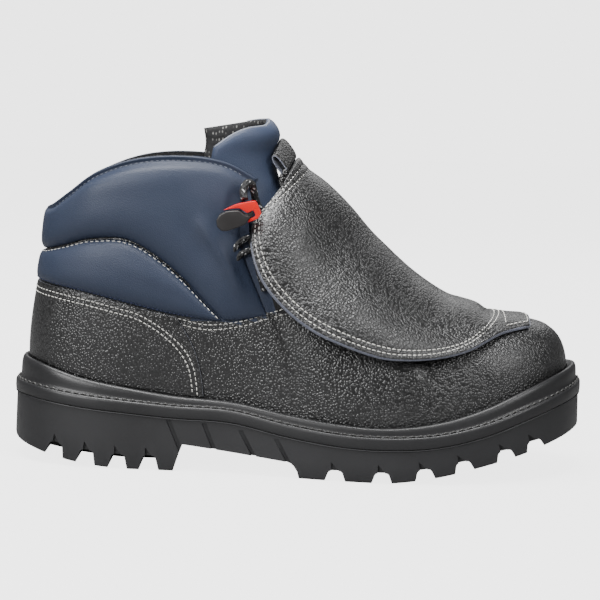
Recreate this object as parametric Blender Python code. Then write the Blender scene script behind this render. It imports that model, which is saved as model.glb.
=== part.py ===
"""Right safety shoe: lugged sole, hollow leather upper, padded collar, tongue and metatarsal guard.

X runs from heel to toe, the outer side of the foot is at -Y, the floor is Z = 0.
The origin is on the floor under the middle of the heel. Lengths are in metres.
"""
import math

import bpy
import numpy as np

# Driving sizes of the shoe
shoe_length = 0.3115
ball_width = 0.110
sole_height = 0.050
collar_height = 0.170
heel_back = 0.078
half_width = ball_width / 2

# Walls, gaps and edges
gap = 0.0003
skin_gap = 0.00035
upper_wall = 0.0022
tray_floor = 0.0030
insole_thickness = 0.0028
quarter_thickness = 0.0015
band_height = 0.0064
wall_step = 0.0008
foot_inset = 0.0102

# Treads of the sole
heel_groove_depth = 0.0079
heel_groove_mouth = 0.0107
heel_groove_roof = 0.0066
ball_groove_depth = 0.0058
ball_groove_mouth = 0.0110
ball_groove_roof = 0.0070
heel_spine = 0.008
ball_spine = 0.012
recess_depth = 0.0022
recess_height = 0.0046
rib_groove_depth = 0.0010
rib_groove_width = 0.0026
waist_heel_end = shoe_length * 0.29213
waist_ball_start = shoe_length * 0.50241
waist_heel_height = 0.0148
waist_ball_height = 0.0087

# Collar pads
lower_pad_bulge = 0.0048
upper_pad_bulge = 0.0062
pad_edge = 0.0016
pad_heel_share = 0.25
pad_seam_gap = 0.0012

# Tongue and guard
tongue_thickness = 0.0058
tongue_edge = 0.0030
guard_thickness = 0.0046
guard_edge = 0.0022
guard_tab = 0.0019

# Clip, cord and pull loop
cord_radius = 0.0020
clip_y = half_width * -0.8327
clip_ahead = shoe_length * 0.39165
clip_up = collar_height * 0.81824
frame_depth = 0.0062
lever_depth = 0.0084
loop_width = 0.018
loop_long = 0.0136
loop_short = 0.0050
loop_wall = 0.0013
loop_tilt = -52.0
loop_middle = (shoe_length * 0.461, half_width * -0.109, collar_height * 0.987)
loop_skew = (0.0039, 0.0087)


def table(columns, rows):
    """Rows of numbers as dictionaries with the named columns."""
    names = columns.split()
    return [dict(zip(names, row)) for row in rows]


# Outline of the sole from heel tip to toe tip. along is a share of shoe_length, centre and half
# shares of half_width, ground, step and rim shares of sole_height, inset a share of foot_inset.
SOLE = table(
    "along centre half ground step rim inset",
    (
        (0.000, 0.000, 0.000, 0.220, 0.722, 0.384, 1.00),
        (0.010, 0.000, 0.255, 0.192, 0.722, 0.380, 1.00),
        (0.034, -0.004, 0.451, 0.152, 0.714, 0.368, 1.00),
        (0.073, -0.009, 0.598, 0.098, 0.688, 0.340, 1.00),
        (0.130, -0.018, 0.684, 0.038, 0.650, 0.296, 1.00),
        (0.200, -0.024, 0.715, 0.000, 0.616, 0.260, 1.00),
        (0.290, -0.038, 0.711, 0.000, 0.576, 0.224, 1.00),
        (0.385, -0.067, 0.718, 0.000, 0.558, 0.206, 0.92),
        (0.480, -0.091, 0.782, 0.000, 0.448, 0.220, 0.82),
        (0.570, -0.076, 0.887, 0.000, 0.378, 0.224, 0.80),
        (0.655, -0.036, 0.967, 0.000, 0.364, 0.220, 0.80),
        (0.740, 0.009, 0.984, 0.072, 0.404, 0.246, 0.80),
        (0.820, 0.044, 0.927, 0.188, 0.520, 0.272, 0.80),
        (0.890, 0.067, 0.791, 0.300, 0.674, 0.300, 0.79),
        (0.945, 0.076, 0.589, 0.406, 0.792, 0.312, 0.78),
        (0.982, 0.084, 0.338, 0.480, 0.864, 0.312, 0.77),
        (1.000, 0.084, 0.000, 0.510, 0.896, 0.312, 0.77),
    ),
)

# Upper edge of each rib of the quarters, one row per row of the sole up to the throat.
# rise, lean and ahead shape the rib at its foot, drop, spread and back at its top.
RIBS = table(
    "along mid half up rise lean ahead drop spread back",
    (
        (0.056, 0.000, 0.000, 0.806, 0.206, 0.095, 0.000, 0.224, 0.027, 0.000),
        (0.060, 0.000, 0.136, 0.811, 0.206, 0.093, 0.000, 0.226, 0.029, 0.000),
        (0.072, 0.000, 0.264, 0.824, 0.206, 0.091, 0.000, 0.235, 0.036, 0.000),
        (0.100, 0.000, 0.382, 0.865, 0.212, 0.084, 0.000, 0.259, 0.064, 0.000),
        (0.146, 0.000, 0.482, 0.929, 0.224, 0.076, 0.000, 0.282, 0.091, 0.000),
        (0.212, 0.000, 0.527, 0.974, 0.235, 0.073, 0.000, 0.306, 0.109, 0.000),
        (0.289, 0.000, 0.536, 0.988, 0.235, 0.064, 0.000, 0.324, 0.109, 0.000),
        (0.360, 0.000, 0.518, 0.974, 0.235, 0.036, 0.060, 0.294, 0.127, -0.080),
        (0.420, 0.000, 0.464, 0.921, 0.212, 0.027, 0.218, 0.235, 0.155, -0.327),
    ),
)
quarter_row = 8
throat_share = 0.56

# Upper edge of each rib of the vamp after the quarters: facing line, throat, then ridge to the toe.
VAMP = table(
    "along mid up rise lean ahead drop spread back",
    (
        (0.490, 0.000, 0.571, 0.145, 0.030, 0.000, 0.130, 0.130, 0.000),
        (0.568, 0.009, 0.562, 0.150, 0.040, 0.000, 0.080, 0.270, 0.000),
        (0.652, 0.018, 0.547, 0.185, 0.045, 0.000, 0.006, 0.580, 0.000),
        (0.738, 0.036, 0.515, 0.210, 0.045, 0.000, 0.000, 0.640, 0.000),
        (0.815, 0.055, 0.501, 0.190, 0.045, 0.000, 0.000, 0.600, 0.000),
        (0.880, 0.069, 0.495, 0.160, 0.036, 0.000, 0.000, 0.460, 0.000),
        (0.920, 0.080, 0.484, 0.125, 0.022, 0.000, 0.000, 0.270, 0.000),
        (0.942, 0.084, 0.465, 0.100, 0.018, 0.000, 0.000, 0.125, 0.000),
    ),
)
throat_row = 11
toe_row = 16

# Section of the rim above the step: inset from the rim's edge is a share of foot_inset,
# band and bead are shares of band_height and of the height of the bead above it.
RIM = table(
    "inset band bead",
    (
        (0.030, 0.00, 0.00),
        (0.000, 0.10, 0.00),
        (0.020, 0.90, 0.00),
        (0.110, 1.00, 0.00),
        (0.270, 1.00, 0.16),
        (0.330, 1.00, 0.34),
        (0.345, 1.00, 0.74),
        (0.420, 1.00, 0.95),
        (0.540, 1.00, 1.00),
        (0.680, 1.00, 0.98),
    ),
)

# Height lines round the upper, one row per rib, shares of collar_height.
LINES = table(
    "leather_top pad_seam",
    (
        (0.566, 0.666),
        (0.565, 0.669),
        (0.562, 0.675),
        (0.555, 0.691),
        (0.541, 0.716),
        (0.515, 0.712),
        (0.488, 0.619),
        (0.498, 0.488),
        (0.521, 0.400),
    ),
)

# Rib number of the front edge of the rear quarter and of the upper pad, from bottom to top.
QUARTER_FRONT = table("rib", ((6.48,), (6.42,), (6.28,), (5.98,)))
PAD_FRONT = table("rib", ((7.90,), (7.82,), (7.68,), (7.62,), (7.72,), (7.96,)))
lower_pad_end = 6.72

# Grooves across the tread: middle as a share of shoe_length.
HEEL_GROOVES = (0.082, 0.138, 0.194, 0.248)
BALL_GROOVES = (0.567, 0.646, 0.720, 0.787, 0.859, 0.912)
WAIST_RIBS = table(
    "top_along top_up foot_along foot_up",
    (
        (0.2760, 0.0290, 0.3010, 0.0130),
        (0.3370, 0.0282, 0.3610, 0.0125),
        (0.4000, 0.0255, 0.4300, 0.0110),
        (0.4610, 0.0222, 0.4930, 0.0070),
    ),
)

# Tongue from its top to its foot under the vamp: front edge of the section in the middle,
# direction of the wings below level in degrees, half width and reach of the wings.
TONGUE = table(
    "along up wing_angle half reach",
    (
        (0.4400, 1.106, 6.0, 0.472, 0.218),
        (0.4530, 1.056, 8.0, 0.472, 0.232),
        (0.4455, 1.000, 12.0, 0.463, 0.222),
        (0.4540, 0.918, 24.0, 0.436, 0.190),
        (0.4820, 0.824, 36.0, 0.418, 0.160),
        (0.5260, 0.735, 44.0, 0.409, 0.130),
        (0.5720, 0.655, 46.0, 0.380, 0.110),
        (0.6180, 0.572, 48.0, 0.330, 0.090),
        (0.6580, 0.500, 42.0, 0.280, 0.070),
    ),
)

# Guard from its rear edge to the tab on the toe: ridge and side edge of its outer face.
# along is a share of shoe_length, up of collar_height, half, mid, spread and lift of half_width,
# sweep a share of the run from the ridge to the edge, tuck a share of spread.
GUARD = table(
    "along up edge_along edge_half edge_up mid spread lift tuck sweep",
    (
        (0.4870, 0.988, 0.4205, 0.655, 0.822, 0.000, 0.364, 0.118, 0.12, 0.00),
        (0.5070, 0.949, 0.4110, 0.755, 0.784, 0.000, 0.345, 0.200, 0.12, 0.02),
        (0.5390, 0.904, 0.4120, 0.891, 0.712, 0.000, 0.400, 0.260, 0.12, 0.09),
        (0.5780, 0.838, 0.4320, 0.973, 0.618, 0.000, 0.473, 0.315, 0.12, 0.15),
        (0.6160, 0.760, 0.4710, 1.018, 0.536, 0.000, 0.527, 0.327, 0.12, 0.20),
        (0.6560, 0.692, 0.5200, 1.064, 0.472, 0.000, 0.564, 0.327, 0.12, 0.22),
        (0.6920, 0.637, 0.5750, 1.073, 0.429, 0.000, 0.582, 0.291, 0.12, 0.22),
        (0.7260, 0.594, 0.6340, 1.045, 0.395, 0.009, 0.564, 0.255, 0.12, 0.22),
        (0.7580, 0.562, 0.6820, 1.000, 0.388, 0.018, 0.509, 0.200, 0.14, 0.22),
        (0.7870, 0.548, 0.7300, 0.918, 0.393, 0.027, 0.455, 0.164, 0.18, 0.22),
        (0.8090, 0.536, 0.7780, 0.818, 0.411, 0.036, 0.400, 0.132, 0.24, 0.22),
        (0.8270, 0.518, 0.8150, 0.700, 0.440, 0.045, 0.372, 0.110, 0.32, 0.22),
        (0.8460, 0.513, 0.8420, 0.573, 0.463, 0.055, 0.310, 0.080, 0.42, 0.22),
        (0.8680, 0.509, 0.8670, 0.460, 0.474, 0.060, 0.260, 0.060, 0.48, 0.22),
        (0.8890, 0.508, 0.8880, 0.393, 0.481, 0.065, 0.220, 0.045, 0.50, 0.22),
        (0.9020, 0.502, 0.9000, 0.333, 0.481, 0.069, 0.190, 0.035, 0.50, 0.22),
    ),
)
guard_tab_row = 11.0

# Clip outlines seen from the side: corners in millimetres from the middle of the clip.
CLIP_FRAME = table(
    "ahead up",
    (
        (-8.3, 1.8),
        (-2.7, 4.7),
        (2.0, 6.1),
        (7.8, 7.1),
        (9.6, 4.5),
        (11.2, 0.6),
        (9.5, -2.0),
        (4.4, -4.2),
        (4.8, -2.7),
        (7.9, -1.0),
        (8.2, 0.1),
        (7.0, 2.3),
        (3.9, 0.8),
        (0.0, 3.1),
        (-4.0, 2.8),
    ),
)
CLIP_LEVER = table(
    "ahead up",
    (
        (-11.9, -3.4),
        (-10.2, -0.3),
        (-6.1, 1.6),
        (-0.5, 2.0),
        (3.3, -0.2),
        (5.7, -1.2),
        (3.0, -5.2),
        (-0.9, -6.9),
        (-5.8, -8.8),
        (-9.0, -8.9),
        (-11.4, -6.7),
    ),
)

# Middle line of the cord from its hidden end over the tongue to the clip: along is a share of
# shoe_length, across of half_width, up of collar_height.
CORD = table(
    "along across up",
    (
        (0.49920, 0.4091, 0.69118),
        (0.52006, 0.2836, 0.72471),
        (0.53258, 0.0000, 0.74706),
        (0.52006, -0.2836, 0.72471),
        (0.49920, -0.4273, 0.70294),
        (0.47352, -0.4909, 0.72647),
        (0.44462, -0.5273, 0.77647),
        (0.42055, -0.5636, 0.83824),
        (0.41348, -0.6273, 0.87941),
        (0.40963, -0.6836, 0.90706),
        (0.40128, -0.7309, 0.91059),
        (0.39615, -0.7709, 0.88824),
        (0.39872, -0.8145, 0.86294),
    ),
)


def row_value(rows, column, place, start=1.0, end=1.0):
    """Smooth value of a column between rows. start and end are 1 where it mirrors, -1 where it flips."""
    last = len(rows) - 1
    place = min(max(place, 0.0), float(last))
    first = min(int(place), last - 1)
    share = place - first

    def value(index):
        if index < 0:
            return rows[-index][column] * start if start else 2 * rows[0][column] - rows[1][column]
        if index > last:
            if end:
                return rows[2 * last - index][column] * end
            return 2 * rows[last][column] - rows[last - 1][column]
        return rows[index][column]

    a, b, c, d = (value(first + step) for step in (-1, 0, 1, 2))
    slope = (c - a) * share
    bend = (2 * a - 5 * b + 4 * c - d) * share ** 2
    turn = (3 * b - a - 3 * c + d) * share ** 3
    return 0.5 * (2 * b + slope + bend + turn)


def ground_height(place):
    return max(0.0, sole_height * row_value(SOLE, "ground", place))


def step_height(place):
    return sole_height * row_value(SOLE, "step", place)


def rim_height(place):
    return sole_height * row_value(SOLE, "rim", place)


def tray_height(place):
    return step_height(place) + tray_floor


def outline_point(side, place):
    along = shoe_length * row_value(SOLE, "along", place)
    centre = half_width * row_value(SOLE, "centre", place)
    half = half_width * row_value(SOLE, "half", place, -1.0, -1.0)
    return np.array((along, centre + side * half))


def outline_normal(side, place):
    step = 0.01
    ahead = outline_point(side, min(place + step, toe_row))
    behind = outline_point(side, max(place - step, 0.0))
    run = ahead - behind
    if place < step or place > toe_row - step:
        run[0] = 0.0
    normal = side * np.array((-run[1], run[0]))
    return normal / np.linalg.norm(normal)


def outline(side, place, inset, height):
    """Point inside the rim's edge on one side: -1 is the outer side of the foot, 1 the inner."""
    flat = outline_point(side, place) - outline_normal(side, place) * inset
    return np.array((flat[0], flat[1], height))


def bezier(points, share):
    a, b, c, d = points
    rest = 1.0 - share
    return a * rest ** 3 + 3 * b * rest ** 2 * share + 3 * c * rest * share ** 2 + d * share ** 3


def handles_of(side, place, foot, top, shape, joined):
    """Four handles of a rib from its foot, its top and the shape of its ends."""
    out = np.array((*outline_normal(side, place), 0.0))
    level = np.array((0.0, 0.0, 1.0))
    ahead = np.array((1.0, 0.0, 0.0))
    lower = foot + out * half_width * shape("lean") + level * collar_height * shape("rise")
    lower = lower + ahead * half_width * shape("ahead")
    if joined:
        along_ridge = out + level * out[0] * ridge_slope(place)
        return foot, lower, top + along_ridge * half_width * shape("spread"), top
    upper = top + out * half_width * shape("spread") - level * collar_height * shape("drop")
    return foot, lower, upper + ahead * half_width * shape("back"), top


def rib_foot(side, place):
    inset = foot_inset * row_value(SOLE, "inset", place)
    return outline(side, place, inset, tray_height(place) + gap)


def quarter_rib(side, place):
    """Handles of a rib of the quarters, up to the collar."""
    half = half_width * row_value(RIBS, "half", place, -1.0, None)
    top = np.array((shoe_length * row_value(RIBS, "along", place, 1.0, None),
                    half_width * row_value(RIBS, "mid", place, 1.0, None) + side * half,
                    collar_height * row_value(RIBS, "up", place, 1.0, None)))

    def shape(column):
        return row_value(RIBS, column, place, 1.0, None)
    return handles_of(side, place, rib_foot(side, place), top, shape, False)


def facing_row(side):
    """First row of the vamp: the part of the quarters' front rib below the throat."""
    foot, low, high, top = quarter_rib(side, quarter_row)
    first = foot + (low - foot) * throat_share
    second = low + (high - low) * throat_share
    third = high + (top - high) * throat_share
    handle = first + (second - first) * throat_share
    end = handle + (second + (third - second) * throat_share - handle) * throat_share
    out = np.array((*outline_normal(side, quarter_row), 0.0))
    foot_run, top_run = first - foot, handle - end
    lean, spread = float(np.dot(foot_run, out)), float(np.dot(top_run, out))
    return dict(along=end[0] / shoe_length, mid=0.0,
                half=side * end[1] / half_width, up=end[2] / collar_height,
                rise=foot_run[2] / collar_height, lean=lean / half_width,
                ahead=(foot_run[0] - out[0] * lean) / half_width, drop=-top_run[2] / collar_height,
                spread=spread / half_width, back=(top_run[0] - out[0] * spread) / half_width)


def vamp_top(side, place):
    rows = VAMP_SIDES[side]
    row = place - quarter_row
    share = row / (throat_row - quarter_row)
    half = half_width * rows[0]["half"] * math.sqrt(max(0.0, 1.0 - share ** 2))
    return np.array((shoe_length * row_value(rows, "along", row, None, 1.0),
                     half_width * row_value(rows, "mid", row, None, 1.0) + side * half,
                     collar_height * row_value(rows, "up", row, None, 1.0)))


def ridge_slope(place):
    ahead = vamp_top(1, min(place + 0.05, toe_row))
    behind = vamp_top(1, max(place - 0.05, throat_row))
    return (ahead[2] - behind[2]) / (ahead[0] - behind[0])


def vamp_rib(side, place):
    """Handles of a rib of the vamp, up to the throat or the ridge."""
    def shape(column):
        return row_value(VAMP_SIDES[side], column, place - quarter_row, None, 1.0)
    return handles_of(side, place, rib_foot(side, place), vamp_top(side, place), shape, place >= throat_row)


def rib(side, place):
    return quarter_rib(side, place) if place <= quarter_row else vamp_rib(side, place)


def upper_point(side, place, share):
    return bezier(rib(side, place), share)


def upper_normal(side, place, share):
    """Outward direction of the upper's outer face."""
    step = 0.02
    if place <= quarter_row:
        low, high, shape = 0.0, float(quarter_row), quarter_rib
    else:
        low, high, shape = float(quarter_row), float(toe_row), vamp_rib
    ahead = bezier(shape(side, min(place + step, high)), share)
    behind = bezier(shape(side, max(place - step, low)), share)
    run = ahead - behind
    if place < step:
        run = np.array((0.0, side, 0.0))
    handles = shape(side, place)
    rise = bezier(handles, min(share + step, 1.0)) - bezier(handles, max(share - step, 0.0))
    normal = -side * np.cross(run, rise)
    return normal / np.linalg.norm(normal)


VAMP_SIDES = {side: [facing_row(side)] + VAMP for side in (-1, 1)}


def share_at_height(side, place, height):
    """Share of the rib at which it reaches a height."""
    handles = rib(side, place)
    low, high = 0.0, 1.0
    for _ in range(24):
        middle = (low + high) / 2
        if bezier(handles, middle)[2] < height:
            low = middle
        else:
            high = middle
    return (low + high) / 2


def skin(side, place, height, lift):
    """Point over the upper at a height, lifted off its outer face."""
    share = share_at_height(side, place, height)
    return upper_point(side, place, share) + upper_normal(side, place, share) * lift


def placed(points):
    """Points with X measured from the middle of the heel."""
    return [(float(p[0]) - heel_back, float(p[1]), float(p[2])) for p in points]


def paint(name, colour, roughness, metallic=0.0):
    material = bpy.data.materials.new(name)
    material.use_nodes = True
    shader = material.node_tree.nodes["Principled BSDF"]
    shader.inputs["Base Color"].default_value = (*colour, 1.0)
    shader.inputs["Roughness"].default_value = roughness
    shader.inputs["Metallic"].default_value = metallic
    return material


def solid(name, points, faces, material):
    """Closed mesh object whose faces are turned to look outward."""
    corners = placed(points)
    volume = 0.0
    for face in faces:
        first = np.array(corners[face[0]])
        for one, two in zip(face[1:-1], face[2:]):
            volume += float(np.dot(first, np.cross(corners[one], corners[two])))
    if volume < 0.0:
        faces = [tuple(reversed(face)) for face in faces]
    mesh = bpy.data.meshes.new(name)
    mesh.from_pydata(corners, [], [tuple(face) for face in faces])
    mesh.update()
    built = bpy.data.objects.new(name, mesh)
    bpy.context.scene.collection.objects.link(built)
    built.data.materials.append(material)
    return built


def panel(name, inner, outer, material):
    """Solid between two grids of points with the same rows and columns."""
    rows, columns = len(inner), len(inner[0])
    points = [p for line in inner for p in line] + [p for line in outer for p in line]
    shift = rows * columns
    faces = []
    for i in range(rows - 1):
        for j in range(columns - 1):
            a = i * columns + j
            quad = (a, a + 1, a + columns + 1, a + columns)
            faces.append(quad)
            faces.append(tuple(reversed([corner + shift for corner in quad])))
    border = [i for i in range(columns)]
    border += [i * columns + columns - 1 for i in range(1, rows)]
    border += [(rows - 1) * columns + i for i in range(columns - 2, -1, -1)]
    border += [i * columns for i in range(rows - 2, 0, -1)]
    for one, two in zip(border, border[1:] + border[:1]):
        faces.append((two, one, one + shift, two + shift))
    return solid(name, points, faces, material)


def prism(name, corners, low, high, material):
    """Solid with a side-view outline in metres between two Y values."""
    count = len(corners)
    points = [(x, low, z) for x, z in corners] + [(x, high, z) for x, z in corners]
    faces = [tuple(range(count)), tuple(range(2 * count - 1, count - 1, -1))]
    for i in range(count):
        j = (i + 1) % count
        faces.append((j, i, i + count, j + count))
    return solid(name, points, faces, material)


def joined_loop(places):
    """Sides and places once round the sole, from the heel tip along the outer side and back."""
    ring = [(-1, place) for place in places]
    return ring + [(1, place) for place in reversed(places[1:-1])]


def band_cap(count, ring_index, pairs, across, points, level):
    """Faces and inner points that close a ring by strips from side to side."""
    faces = []
    last = len(pairs) - 1
    lines = []
    for i, (outer, inner) in enumerate(pairs):
        if i in (0, last):
            lines.append([ring_index(i)] * (across + 1))
            continue
        line = [ring_index(i)]
        for step in range(1, across):
            share = step / across
            points.append(outer * (1 - share) + inner * share)
            line.append(len(points) - 1)
        line.append(ring_index(count - i))
        lines.append(line)
    for one, two in zip(lines, lines[1:]):
        for j in range(across):
            quad = [one[j], one[j + 1], two[j + 1], two[j]]
            face = [corner for k, corner in enumerate(quad) if corner != quad[k - 1]]
            faces.append(tuple(reversed(face)) if level > 0 else tuple(face))
    return faces


def sole_body(name, rings, places, across, material):
    """Solid from stacked rings round the sole, closed across at the first and the last ring."""
    ring = joined_loop(places)
    count = len(ring)
    points = []
    for profile in rings:
        points += [profile(side, place) for side, place in ring]
    faces = []
    for level in range(len(rings) - 1):
        for i in range(count):
            j = (i + 1) % count
            a, b = level * count + i, level * count + j
            faces.append((a, b, b + count, a + count))
    for level, direction in ((0, -1), (len(rings) - 1, 1)):
        start = level * count
        pairs = [(points[start + i], points[start + (count - i) % count]) for i in range(len(places))]
        faces += band_cap(count, lambda i, start=start: start + i % count, pairs, across, points, direction)
    return solid(name, points, faces, material)


def cut(target, name, pieces, material):
    """Cutter made of separate closed pieces, taken out of the target."""
    points, faces = [], []
    for corners, low, high in pieces:
        shift, count = len(points), len(corners)
        points += [(x, low, z) for x, z in corners] + [(x, high, z) for x, z in corners]
        front = [tuple(range(count)), tuple(range(2 * count - 1, count - 1, -1))]
        front += [(j, i, i + count, j + count) for i, j in ((k, (k + 1) % count) for k in range(count))]
        area = sum(corners[k - 1][0] * corners[k][1] - corners[k][0] * corners[k - 1][1]
                   for k in range(count))
        if (area > 0) != (high > low):
            front = [tuple(reversed(face)) for face in front]
        faces += [tuple(corner + shift for corner in face) for face in front]
    cutter = solid(name, points, faces, material)
    cutter.hide_render = True
    cutter.display_type = "WIRE"
    modifier = target.modifiers.new(name, "BOOLEAN")
    modifier.operation = "DIFFERENCE"
    modifier.solver = "EXACT"
    modifier.object = cutter


def place_at(along):
    """Row of the sole at a distance from the heel tip."""
    low, high = 0.0, float(toe_row)
    for _ in range(24):
        middle = (low + high) / 2
        if outline_point(1, middle)[0] < along:
            low = middle
        else:
            high = middle
    return (low + high) / 2


def ground_at(along):
    return ground_height(place_at(along))


def on_tread(middle, corners):
    """Side-view corners turned square to the tread at a distance from the heel tip."""
    slope = math.atan2(ground_at(middle + 0.004) - ground_at(middle - 0.004), 0.008)
    level = ground_at(middle)
    turned = []
    for x, z in corners:
        ahead = middle + x * math.cos(slope) - z * math.sin(slope)
        turned.append((ahead, level + x * math.sin(slope) + z * math.cos(slope)))
    return turned


def groove_corners(middle, mouth, roof, depth):
    """Side view of one groove, wider at its mouth."""
    flare = (mouth - roof) / 2 / depth * 0.004
    half_mouth = mouth / 2 + flare
    mouth_side = ((-half_mouth, -0.004), (half_mouth, -0.004))
    return on_tread(middle, mouth_side + ((roof / 2, depth), (-roof / 2, depth)))


def recess_corners(middle, roof, depth):
    """Triangle above a groove on the side wall: upright behind, sloping to the front."""
    behind, ahead = 0.0006 - roof / 2, 0.0026 + roof / 2
    foot = depth - 0.0016
    return on_tread(middle, ((behind, foot), (ahead, foot), (behind, depth + recess_height)))


def side_reach(side, along, depth):
    """Y of the wall at a distance from the heel, moved inward by a depth."""
    place = place_at(along)
    return outline(side, place, wall_step, 0.0)[1] - side * depth


for item in list(bpy.data.objects):
    bpy.data.objects.remove(item, do_unlink=True)

rubber = paint("tread_rubber", (0.052, 0.052, 0.056), 0.55)
rim_rubber = paint("rim_rubber", (0.045, 0.045, 0.048), 0.42)
leather = paint("grained_leather", (0.028, 0.028, 0.030), 0.48)
navy = paint("navy_leather", (0.050, 0.062, 0.098), 0.42)
footbed = paint("footbed_felt", (0.060, 0.060, 0.062), 0.90)
red = paint("clip_red", (0.680, 0.036, 0.030), 0.35)
dark = paint("clip_black", (0.055, 0.050, 0.050), 0.40)
cord_paint = paint("cord_black", (0.030, 0.030, 0.030), 0.75)

rim_places = [0.5 * i for i in range(2 * toe_row + 1)]

# Outsole: wall under the rim and lugged tread
outsole = sole_body(
    "outsole",
    [
        lambda side, place: outline(side, place, wall_step + 0.0016, ground_height(place)),
        lambda side, place: outline(side, place, wall_step * 0.5, ground_height(place) + 0.0016),
        lambda side, place: outline(side, place, wall_step, step_height(place) - gap),
    ],
    rim_places,
    4,
    rubber,
)

sections = [(share * shoe_length, heel_groove_mouth, heel_groove_roof, heel_groove_depth, heel_spine)
            for share in HEEL_GROOVES]
sections += [(share * shoe_length, ball_groove_mouth, ball_groove_roof, ball_groove_depth, ball_spine)
             for share in BALL_GROOVES]
side_end = 0.075
groove_pieces = []
recess_pieces = []
for middle, mouth, roof, depth, spine in sections:
    for side in (-1, 1):
        groove_pieces.append((groove_corners(middle, mouth, roof, depth), side * spine, side * side_end))
        wall = side_reach(side, middle, recess_depth)
        recess_pieces.append((recess_corners(middle, roof, depth), wall, side * side_end))
waist = ((waist_heel_end - 0.003, -0.01), (waist_ball_start + 0.004, -0.01), (waist_ball_start, 0.004),
         (waist_ball_start - 0.005, waist_ball_height), (waist_heel_end + 0.004, waist_heel_height),
         (waist_heel_end, 0.004))
groove_pieces.append((waist, -side_end, side_end))
for row in WAIST_RIBS:
    top, foot = row["top_along"] * shoe_length, row["foot_along"] * shoe_length
    corners = ((foot, row["foot_up"] - 0.004), (foot + rib_groove_width, row["foot_up"] - 0.004),
               (top + rib_groove_width, row["top_up"] - 0.0016), (top, row["top_up"] - 0.0016))
    for side in (-1, 1):
        wall = side_reach(side, (top + foot) / 2, rib_groove_depth)
        recess_pieces.append((corners, wall, side * side_end))
cut(outsole, "tread_grooves", groove_pieces, rubber)
cut(outsole, "wall_recesses", recess_pieces, rubber)

# Midsole: floor of the tray and the rim with its band, ledge and bead


def rim_ring(row):
    def profile(side, place):
        bead = (rim_height(place) - band_height) * row["bead"]
        height = step_height(place) + band_height * row["band"] + bead
        width = foot_inset * min(1.0, row_value(SOLE, "inset", place) + 0.08)
        return outline(side, place, width * row["inset"], height)
    return profile


def rim_inner(share):
    """Inner wall of the rim, clear of the upper, at a share of the rim's height."""
    def profile(side, place):
        height = step_height(place) + rim_height(place) * share
        return skin(side, place, max(tray_height(place) + 0.001, height), skin_gap)
    return profile


def tray_edge(side, place):
    return outline(side, place, foot_inset * row_value(SOLE, "inset", place) - skin_gap, tray_height(place))


midsole = sole_body(
    "midsole",
    [rim_ring(row) for row in RIM] + [rim_inner(0.90), rim_inner(0.55), tray_edge],
    rim_places,
    3,
    rim_rubber,
)

# Insole on the tray's floor
insole_places = [0.0, 0.5] + [float(i) for i in range(1, toe_row)] + [toe_row - 0.5, float(toe_row)]


def insole_ring(height):
    def profile(side, place):
        inset = foot_inset * row_value(SOLE, "inset", place) + upper_wall + 0.0012
        return outline(side, place, inset, tray_height(place) + height)
    return profile


insole_rings = [insole_ring(gap), insole_ring(gap + insole_thickness)]
insole = sole_body("insole", insole_rings, insole_places, 2, footbed)

# Upper: one leather wall from the tray to the collar, the throat and the toe
low_shares = [0.0, 0.13, 0.27, 0.41, 0.55, 0.69, 0.82, 0.92, 1.0]
high_shares = [0.64, 0.73, 0.82, 0.91, 0.965, 1.0]
quarter_shares = [throat_share * share for share in low_shares] + high_shares
index = {}
outer_points = []
sheet = []


def upper_corner(side, place, level, share):
    """Number of a corner of the upper's outer face; corners on a shared line have one number."""
    top = len(low_shares) - 1
    both = place == 0.0 or place == toe_row or (place >= throat_row and level == top)
    key = (0 if both else side, place, level)
    if key not in index:
        index[key] = len(outer_points)
        outer_points.append(upper_point(side, place, share))
    return index[key]


for side in (-1, 1):
    for behind, ahead in zip(rim_places, rim_places[1:]):
        shares = quarter_shares if ahead <= quarter_row else low_shares
        for level in range(len(shares) - 1):
            quad = []
            for place, step in ((behind, 0), (ahead, 0), (ahead, 1), (behind, 1)):
                share = quarter_shares[level + step] if place <= quarter_row else low_shares[level + step]
                quad.append(upper_corner(side, place, level + step, share))
            face = [corner for k, corner in enumerate(quad) if corner != quad[k - 1]]
            sheet.append(tuple(face) if side < 0 else tuple(reversed(face)))
normals = [np.zeros(3) for _ in outer_points]
for face in sheet:
    corners = [outer_points[corner] for corner in face]
    area = np.cross(corners[2] - corners[0], corners[-1] - corners[1])
    area = area / np.linalg.norm(area)
    for corner in face:
        normals[corner] += area
inner_points = [point - normal / np.linalg.norm(normal) * upper_wall
                for point, normal in zip(outer_points, normals)]
shift = len(outer_points)
edges = {}
for face in sheet:
    for one, two in zip(face, face[1:] + face[:1]):
        edges[(one, two)] = True
upper_faces = list(sheet) + [tuple(reversed([corner + shift for corner in face])) for face in sheet]
for one, two in edges:
    if (two, one) not in edges:
        upper_faces.append((two, one, one + shift, two + shift))
solid("upper", outer_points + inner_points, upper_faces, leather)

# Rear quarter: leather panel round the heel


def line_height(column, place):
    return collar_height * row_value(LINES, column, place, 1.0, None)


def signed_places(last):
    """Places from one side's end round the heel to the other: negative on the outer side."""
    steps = [0.5 * i for i in range(int(last / 0.5) + 1)]
    return [-place for place in reversed(steps[1:])] + steps


def quarter_point(place, share, lift):
    side = -1 if place < 0 else 1
    place = abs(place)
    low = step_height(place) + rim_height(place) + 0.0006
    high = line_height("leather_top", place)
    return skin(side, place, low + (high - low) * share, lift)


quarter_inner, quarter_outer = [], []
for level in range(7):
    share = level / 6
    front = row_value(QUARTER_FRONT, "rib", share * 3, None, None)
    line_in, line_out = [], []
    for column in [-front] + signed_places(5.5) + [front]:
        line_in.append(quarter_point(column, share, skin_gap))
        line_out.append(quarter_point(column, share, skin_gap + quarter_thickness))
    quarter_inner.append(line_in)
    quarter_outer.append(line_out)
panel("rear_quarter", quarter_inner, quarter_outer, leather)

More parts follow.
